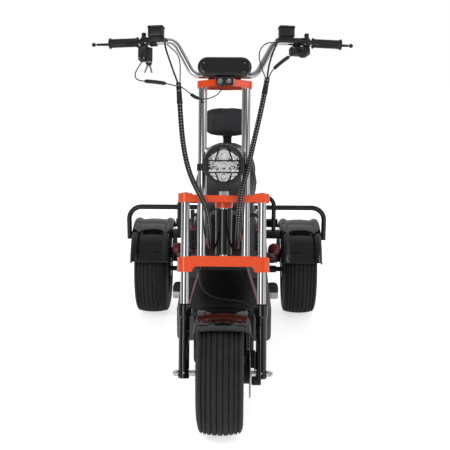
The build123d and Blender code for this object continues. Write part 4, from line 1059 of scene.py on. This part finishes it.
# Rims: hub caps, bolts, valves and the bead's bright edge
hubCap = [(84, 34), (88, 34), (90.5, 32), (92, 26), (92.6, 14), (92.8, 0)]
for label, (centre, body, node) in wheels.items():
    outward = -1 if label == "rightRear" else 1
    wheelPlace = Matrix.Translation(centre)
    if label == "front":
        heads = boltCircle(hexShape(5.5, 5), -1, 86, 27)
    else:
        heads = boltCircle(screwShape(3.4, 2), outward, 92.2, 20)
        cap = turned([(outward * x, r) for x, r in hubCap], 40)
        piece(label + "HubCap", cap, castAlloy, wheelPlace, body=body)
    valvePlace = (Matrix.Rotation(0.5, 4, "X") @ at(outward * 50, 0, 134)
                  @ Matrix.Rotation(math.radians(25 * outward), 4, "Y") @ Matrix.Scale(outward, 4, (1, 0, 0)))
    valve = moved(rodShape(3, 0, 26, 0.8, 12), valvePlace)
    piece(label + "RimBolts", joined(heads, valve), screwSteel, wheelPlace, body=body)
    edges = joined(*[ringShape(160.2, 156.5, *span(side, 73, 74.2), 0.5, 96) for side in (1, -1)])
    piece(label + "RimEdge", edges, castAlloy, wheelPlace, body=body)
print("fork and wheel details made")


def behind(y):  # a distance behind the front axle, as the scooter's own y
    return frontAxle.y + y


# Shock absorbers: red dust caps, seats and bolts
shocks = {"side": 240, "front": (1125, 402), "back": (1335, 296), "capRadius": 29.6, "capLength": 44,
          "boltSide": 15.6}
start, end = [Vector((0, behind(y), z)) for y, z in (shocks["front"], shocks["back"])]
lean = (end - start).to_track_quat("X", "Z").to_matrix().to_4x4()
r, run = shocks["capRadius"], shocks["capLength"]
profile = [(-27, 0), (-26.4, r * 0.42), (-23, r * 0.70), (-16, r * 0.9), (-6, r), (run * 0.55, r + 0.6), (run, r + 0.6),
           (run, r - 1.6), (run * 0.5, r - 2), (0, 10)]
domes, bolts = [], []
for sign in (1, -1):
    domes.append(moved(turned(profile, 40), at(sign * shocks["side"], *start.yz) @ lean))
    for x in (-1, 1):
        boltAt = (sign * (shocks["side"] + x * shocks["boltSide"]), *end.yz)
        bolts.append(moved(hexShape(8, 5), facing(boltAt, (x, 0, 0))))
piece("shockCaps", joined(*domes), redPaint, body="frame")
piece("shockBolts", joined(*bolts), screwSteel, body="frame")

# Small upright dampers in front of the seat box, with a coil, a red collar and a steel top
damper = {"x": 152, "y": 838, "low": 462, "coilLow": 482, "coilHigh": 573, "topLow": 630, "high": 668, "coil": 14,
          "wire": 3, "turns": 8, "boxFront": 861, "arm": (116, 640)}
coils, rods, collars, mounts = [], [], [], []
for sign in (1, -1):
    size = damper
    x, y, wall = sign * size["x"], behind(size["y"]), behind(size["boxFront"])
    place = at(x, y, 0)
    low, high = size["coilLow"], size["coilHigh"]
    path = [(*onCircle(size["coil"], size["turns"] * n / 200), low + (high - low) * n / 200) for n in range(201)]
    coils.append(moved(tubeShape(path, size["wire"], 8, up=(0, 0, 1)), place))
    rods.append(moved(joined(
        standing(rodShape(5, size["low"], size["high"] - 8, 1)), standing(rodShape(10, size["topLow"], size["high"], 3)),
    ), place))
    collars.append(moved(joined(
        standing(ringShape(18, 6, high, high + 16, 2.5)), standing(ringShape(18, 6, low - 5, low, 1.5)),
    ), place))
    mounts.append(tubeShape([(x, y, size["low"]), (x, wall, size["low"])], 9, 16))
    mounts.append(tubeShape([(x, y, size["topLow"] + 14), (sign * size["arm"][0], wall, size["arm"][1])], 8, 16))
piece("damperCoils", joined(*coils), blackAlloy, body="frame")
piece("damperRods", joined(*rods), blackAlloy, body="frame")
piece("damperCollars", joined(*collars), redPaint, body="frame")
piece("damperMounts", joined(*mounts), blackSteel, body="frame")

# Foot pegs: a ribbed alloy body with a domed rubber top
pegs = {"inner": 200.3, "outer": 256, "front": 930, "back": 1000, "low": 204, "waist": 237, "high": 272}
size = pegs
inner, outer, low, waist, high = size["inner"], size["outer"], size["low"], size["waist"], size["high"]
front, back = behind(size["front"]), behind(size["back"])
tops, bodies = [], []
for sign in (1, -1):
    rows = []
    for n in range(15):
        t = n / 14
        inset = 5 * (1 - math.sin(math.pi * t) ** 0.35)
        ridge = 0.9 if n % 2 else 0
        row = []
        for k in range(17):
            c, s = math.cos(math.pi * k / 16), math.sin(math.pi * k / 16)
            x = (inner + outer) / 2 - ((outer - inner) / 2 - inset) * rounder(c, 0.6)
            z = waist + 3 + (high - waist - 3 - inset) * s ** 0.55 + ridge * s
            row.append((sign * x, front + (back - front) * t, z))
        rows.append(row)
    tops.append(gridShape(rows, closeAcross=True, capped=True))
    left, right = span(sign, inner + 1, outer - 2)
    bodies.append(boxShape((left, front + 2, low + 4), (right, back - 2, waist + 4), 3, 3))
    a, b = span(sign, outer - 5, outer - 1)
    for n in range(6):
        y = front + 8 + 10.6 * n
        bodies.append(boxShape((left + 3, y, low), (right - 3, y + 5, low + 8)))
        bodies.append(boxShape((a, y, low + 6), (b, y + 5, waist + 2), 1.2))
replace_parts(piece("pegRubbers", joined(*tops), gripRubber, body="frame", sharp=50), "foot_pegs")
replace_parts(piece("pegBodies", joined(*bodies), castAlloy, body="frame"), "foot_pegs")
print("shocks and pegs made")

# Floor mat with ribs across it, and trim along the deck's sides
mat = {"half": 168, "front": 545, "back": 852, "height": 335, "ribs": 18}
size = mat
half, front, back, top = size["half"], behind(size["front"]), behind(size["back"]), size["height"]
ribs = [boxShape((-half, front, top), (half, back, top + 2.4), 1.0)]
step = (back - front - 24) / size["ribs"]
for n in range(size["ribs"]):
    y = front + 14 + step * n
    ribs.append(boxShape((12 - half, y, top + 1), (half - 12, y + step * 0.55, top + 4.4), 1.0))
piece("floorMat", joined(*ribs), gripRubber, body="frame")
stripe = {"sides": (199.6, 200.9), "front": 446, "back": 1046, "heights": (250, 256), "wide": 2.2}
stripes = []
for sign in (1, -1):
    left, right = span(sign, *stripe["sides"])
    for z in stripe["heights"]:
        box = (left, behind(stripe["front"]), z), (right, behind(stripe["back"]), z + stripe["wide"])
        stripes.append(boxShape(*box, 0.3, 1))
piece("deckStripes", joined(*stripes), pinstripe, body="frame")


# Side panels on the shroud, with a pink line along their front edge
shroud = {
    "low": 335, "height": 440, "front": 268, "length": 262, "half": 150, "panelLow": 342, "panelHeight": 400,
    "halfAt": [(0, 1), (0.22, 0.86), (0.46, 0.66), (0.66, 0.5), (1, 0.33)],
    "frontAt": [(0, 0.26), (0.2, 0.13), (0.5, 0), (0.8, 0), (1, 0.12)],
    "backAt": [(0, 1), (0.25, 0.7), (0.6, 0.52), (1, 0.4)],
}
size = shroud
panels, lines = [], []
for sign in (1, -1):
    rows, edge = [], []
    for n in range(25):
        z = size["panelLow"] + size["panelHeight"] * n / 24
        share = (z - size["low"]) / size["height"]
        half = size["half"] * between(size["halfAt"], share)
        front, back = [behind(size["front"] + size["length"] * between(size[way], share)) for way in ("frontAt", "backAt")]
        row = []
        for k in range(9):
            lift = 2.6 * math.sin(math.pi * k / 8) ** 0.5 * math.sin(math.pi * n / 24) ** 0.4 + 0.4
            row.append((sign * (half + lift), front + 16 + (back - front - 26) * k / 8, z))
        rows.append(row + [(sign * (half - 2), y, z) for x, y, z in reversed(row)])
        edge.append((sign * (half + 1.0), front + 12, z))
    panels.append(gridShape(rows, closeAcross=True, capped=True))
    lines.append(tubeShape(edge, 1.5, 8))
piece("shroudSidePanels", joined(*panels), greyPaint, body="frame", sharp=60)
piece("shroudPinstripes", joined(*lines), pinstripe, body="frame")
print("mat, panels and trim made")

# Seat: a low front part that steps up to the passenger's part, lofted across, with piping and sewn channels
seat = {
    "front": 785, "length": 675, "low": 655.3, "height": 278, "half": 152,
    "top": [(0, 0.30), (0.02, 0.39), (0.06, 0.47), (0.10, 0.505), (0.17, 0.49), (0.26, 0.462), (0.34, 0.46),
            (0.40, 0.49), (0.44, 0.56), (0.47, 0.67), (0.505, 0.81), (0.54, 0.895), (0.58, 0.92), (0.64, 0.915),
            (0.78, 0.875), (0.88, 0.825), (0.94, 0.765), (0.975, 0.68), (0.992, 0.58), (1, 0.49)],
    "bottom": [(0, 0.17), (0.03, 0.05), (0.11, 0), (0.91, 0), (0.985, 0.13), (1, 0.36)],
    "plan": [(0, 0.41), (0.03, 0.53), (0.07, 0.63), (0.15, 0.75), (0.23, 0.84), (0.32, 0.93), (0.41, 0.985),
             (0.50, 1), (0.86, 1), (0.94, 0.95), (0.98, 0.87), (1, 0.74)],
    "side": [(0, 0.72), (0.15, 0.94), (0.28, 0.99), (0.40, 0.98), (0.51, 0.92), (0.69, 0.82), (0.89, 0.70), (1, 0.60)],
}


def smoothed(table, x, reach=0.02):
    return (between(table, x - reach) + 2 * between(table, x) + between(table, x + reach)) / 4


def seatSection(t, count=40):
    size = seat
    low = size["low"] + size["height"] * smoothed(size["bottom"], t)
    high = size["low"] + size["height"] * smoothed(size["top"], t)
    half = size["half"] * smoothed(size["plan"], t)
    y = behind(size["front"] + size["length"] * t)
    row = []
    for n in range(count):
        c, s = onCircle(1, n / count)
        across = rounder(c, 0.55)
        z = (low + high) / 2 + (high - low) / 2 * rounder(s, 0.55)
        z = z + 5 * (1 - across ** 2) if s > 0 else z
        share = (z - size["low"]) / size["height"]
        row.append((min(half, size["half"] * between(size["side"], share)) * across, y, z))
    return row


def puffed(made, voxel, pressure, cap, frames=18):  # cloth pressure on a remeshed copy, held within a cap
    remesh = made.modifiers.new("remesh", "REMESH")
    remesh.mode = "VOXEL"
    remesh.voxel_size = voxel * mm
    applyModifier(made, remesh)
    start = [v.co.copy() for v in made.data.vertices]
    cloth = made.modifiers.new("cloth", "CLOTH")
    cloth.settings.use_pressure = True
    cloth.settings.uniform_pressure_force = pressure
    cloth.settings.effector_weights.gravity = 0
    cloth.settings.quality = 4
    cloth.point_cache.frame_start, cloth.point_cache.frame_end = 1, frames
    for number in range(1, frames + 1):
        bpy.context.scene.frame_set(number)
    shown = made.evaluated_get(bpy.context.evaluated_depsgraph_get())
    moves = [v.co - start[n] for n, v in enumerate(shown.data.vertices)]
    made.modifiers.remove(cloth)
    for v, move in zip(made.data.vertices, moves):
        v.co += move.normalized() * min(move.length, cap * mm)
    bpy.context.scene.frame_set(1)


def applyModifier(made, modifier):
    shown = made.evaluated_get(bpy.context.evaluated_depsgraph_get())
    mesh = bpy.data.meshes.new_from_object(shown)
    mesh.materials.clear()
    for material in made.data.materials:
        mesh.materials.append(material)
    made.modifiers.remove(modifier)
    made.data = mesh
    mesh.polygons.foreach_set("use_smooth", [True] * len(mesh.polygons))


sections = 72
rows = [seatSection(0.5 - 0.5 * math.cos(math.pi * n / sections)) for n in range(sections + 1)]
stuffed = gridShape(rows, closeAcross=True, capped=True)
cushion = piece("seatCushion", stuffed, seatLeather, body="frame", sharp=180)
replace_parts(cushion, "seat")
puffed(cushion, 6, 4, 4)


def surfaceOf(made):
    return BVHTree.FromPolygons([v.co for v in made.data.vertices], [tuple(p.vertices) for p in made.data.polygons])


def pressed(surface, points, rise=0.0):  # points moved onto the surface, then out by a rise
    found = []
    for p in points:
        spot, normal, *_ = surface.find_nearest(Vector(p) * mm)
        found.append((spot + normal * rise * mm) / mm)
    return found


# Piping along columns of the seat's sections, with its rise and radius, and sewn channels across the top at
# shares of the length, over a range of columns
seatSewing = {
    "piping": ((5, 0.8, 2.3), (15, 0.8, 2.3), (37, 0.4, 1.5), (23, 0.4, 1.5)),
    "channels": (0.115, 0.20, 0.285, 0.37, 0.60, 0.69, 0.78, 0.87), "stepAt": 0.455,
}
surface = surfaceOf(cushion)
beads = [tubeShape(pressed(surface, [row[column] for row in rows[2:-2]], rise), radius, 8)
         for column, rise, radius in seatSewing["piping"]]


def channel(share, columns, parts, rise, radius, sides):
    line = seatSection(share)[columns]
    fine = [Vector(a).lerp(Vector(b), k / parts) for a, b in zip(line, line[1:]) for k in range(parts)]
    beads.append(tubeShape(pressed(surface, fine, rise), radius, sides))


for share in seatSewing["channels"]:
    channel(share, slice(5, 16), 5, 0.1, 1.25, 6)
channel(seatSewing["stepAt"], slice(0, 21), 4, 0.5, 1.8, 8)
piece("seatPiping", joined(*beads), seatThread, body="frame", sharp=60)

# Backrest pad: crowned, its lower edge curved down in the middle
pad = {"half": 120, "low": 922, "high": 1067, "front": 1431.7, "back": 1477.7, "edge": 14, "crown": 6}
size = pad
rows = []
for n in range(31):
    t = n / 30
    inset = size["edge"] * (1 - math.sin(math.pi * t) ** 0.5)
    y = behind(size["front"] + (size["back"] - size["front"]) * t)
    row = []
    for k in range(56):
        c, s = onCircle(1, k / 56)
        x = (size["half"] - 5 - inset) * rounder(c, 0.42)
        z = (size["high"] + size["low"]) / 2 + ((size["high"] - size["low"]) / 2 - 4 - inset) * rounder(s, 0.42)
        z += size["crown"] * (1 - (x / size["half"]) ** 2) * (0.35 if s > 0 else -1) * abs(s)
        row.append((x, y, z + (2 if s < 0 else -1)))
    rows.append(row)
stuffed = gridShape(rows, closeAcross=True, capped=True)
backrest = piece("backrestCushion", stuffed, seatLeather, body="frame", sharp=180)
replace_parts(backrest, "backrest_pad")
puffed(backrest, 5, 3, 4)
surface = surfaceOf(backrest)
beads = [tubeShape(pressed(surface, rows[n] + rows[n][:1], 0.6), 1.8, 8) for n in (6, 24)]
piece("backrestPiping", joined(*beads), seatThread, body="frame", sharp=60)

# The post's flared head, its bolts, and bolts on the rear frame
flare = puckShape([(-22, 905), (22, 905), (26, 918), (48, 930), (50, 962), (-50, 962), (-48, 930), (-26, 918)],
                  [(1, 786.2), (0, 787.0), (0, 790.4), (1, 791.2)])
piece("backrestBracket", flare, blackSteel, body="frame")
bolts = [moved(hexShape(6.5, 4.5), facing((x, 791.0, 948), (0, 1, 0))) for x in (-34, 34)]
bolts += [moved(hexShape(7, 5), facing((0, behind(1496), z), (0, 1, 0))) for z in (462, 620, 700)]
bolts += [moved(hexShape(8, 5.5), facing((x, behind(1501), 447), (0, 1, 0))) for x in (-215, -130, 130, 215)]
guard = {"half": 236, "y": 556, "z": 586, "radius": 12}
bar = tubeShape([(side * guard["half"], guard["y"], guard["z"]) for side in (-1, 1)], guard["radius"], 20)
piece("guardCrossBar", bar, blackSteel, body="frame")
piece("rearFrameBolts", joined(*bolts), screwSteel, body="frame")

# Tail lamp: red lenses in the middle, amber ones at the ends
tailLamp = {"Red": (redLens, (-43, -21.5, 0.5, 22)), "Amber": (amberLens, (-87, -65.5, 45, 66.5))}
body = boxShape((-90, 807.3, 440.3), (90, 826.5, 474.3), 3, 3)
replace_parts(piece("tailLampBody", body, satinPlastic, body="frame"), "tail_lamp")
for label, (material, places) in tailLamp.items():
    lenses = joined(*[boxShape((x, 824, 443), (x + 20.5, 832.4, 471.5), 2.2, 3) for x in places])
    piece("tailLamp" + label, lenses, material, body="frame")
print("seat, backrest and rear details made")


# Studio: white to the camera, bands round the horizon for the chrome, a dim ceiling for the black plastic
studio = {
    "softLight": 0.50, "floorGlow": 0.68, "floorShine": 0.16, "ceiling": (0.24, 0.80), "ceilingAt": (-0.2, 0.45),
    "highFrom": (0.37, 0.43), "ceilingFrom": (0.56, 0.68),
    "low": ((-180, 0.36), (-78, 0.32), (-62, 0.12), (-42, 0.09), (-31, 0.5), (-26, 3.6), (-18, 3.6), (-12, 0.45),
            (6, 0.34), (14, 0.22), (20, 0.10), (42, 0.09), (50, 0.85), (70, 0.85), (84, 0.55), (110, 0.42),
            (180, 0.36)),
    "high": ((-180, 0.36), (-70, 0.30), (-60, 0.10), (-48, 0.10), (-40, 0.22), (28, 0.20), (38, 1.2), (44, 3.0), (52, 3.0),
             (60, 1.2), (74, 0.5), (180, 0.36)),
    "lamps": (("keyLight", (-2.2, -3.0, 3.2), 1.5, 56), ("fillLight", (2.5, -2.4, 2.3), 1.4, 28),
              ("backLight", (0.3, 3.0, 3.4), 2.2, 42)),
}


def makeRamp(tree, share, stops):
    ramp = addNode(tree, "ValToRGB", {0: share})
    places = [((angle + 180) / 360, (level, level, level, 1)) for angle, level in stops]
    elements = ramp.color_ramp.elements
    elements[0].position, elements[0].color = places[0]
    elements[1].position, elements[1].color = places[-1]
    for position, colour in places[1:-1]:
        elements.new(position).color = colour
    return ramp.outputs[0]


def makeWorld():
    world = bpy.data.worlds.new("studio")
    bpy.context.scene.world = world
    world.use_nodes = True
    tree = world.node_tree
    tree.nodes.clear()
    way = addNode(tree, "SeparateXYZ", {0: addNode(tree, "TexCoord").outputs["Generated"]}).outputs
    around = maths(tree, "ARCTAN2", way["X"], maths(tree, "MULTIPLY", way["Y"], -1.0))
    share = mapped(tree, around, -math.pi, math.pi)
    overhead = mapped(tree, way["Y"], *studio["ceilingAt"], *studio["ceiling"])
    seen, high = makeRamp(tree, share, studio["low"]), makeRamp(tree, share, studio["high"])
    for (base, top), upper in ((studio["highFrom"], high), (studio["ceilingFrom"], overhead)):
        colours = {"Factor": mapped(tree, way["Z"], base, top), "A": seen, "B": upper}
        seen = addNode(tree, "Mix", colours, data_type="RGBA").outputs["Result"]
    last = addNode(tree, "Background", {"Color": white, "Strength": studio["softLight"]})
    shown = addNode(tree, "Background", {"Color": white, "Strength": 1.0})
    shine = addNode(tree, "Background", {"Color": seen, "Strength": 1.0})
    path = addNode(tree, "LightPath").outputs
    for ray, source in (("Is Glossy Ray", shine), ("Is Transmission Ray", shown), ("Is Camera Ray", shown)):
        last = addNode(tree, "MixShader", {0: path[ray], 1: last, 2: source})
    addNode(tree, "OutputWorld", {"Surface": last})


def makeFloor():
    ground = bpy.data.meshes.new("floor")
    ground.from_pydata([(-14, -14, 0), (14, -14, 0), (14, 14, 0), (-14, 14, 0)], [], [(0, 1, 2, 3)])
    floor = newObject("floor", ground)
    material, tree, shader = newMaterial("whiteFloor")
    for key, value in (("Base Color", (0.80, 0.80, 0.80, 1)), ("Roughness", 0.9), ("Specular IOR Level", 0.0)):
        shader.inputs[key].default_value = value
    path = addNode(tree, "LightPath").outputs
    shine = maths(tree, "MULTIPLY", path["Is Glossy Ray"], studio["floorShine"])
    strength = maths(tree, "MULTIPLY_ADD", path["Is Camera Ray"], studio["floorGlow"], shine)
    glow = addNode(tree, "Emission", {"Color": white, "Strength": strength})
    both = addNode(tree, "AddShader", {0: shader, 1: glow})
    tree.links.new(both.outputs[0], tree.nodes["Material Output"].inputs["Surface"])
    ground.materials.append(material)


def makeLamps():
    for name, place, size, power in studio["lamps"]:
        data = bpy.data.lights.new(name, "AREA")
        data.size, data.energy = size, power
        light = newObject(name, data)
        light.location = place
        light.rotation_euler = (Vector((0, 0, 0.6)) - Vector(place)).to_track_quat("-Z", "Y").to_euler()
        light.visible_glossy = False  # the bands and the ceiling are what the chrome and the plastic show


makeWorld()
makeFloor()
makeLamps()
bpy.context.scene.view_settings.view_transform = "Standard"
print("studio made")
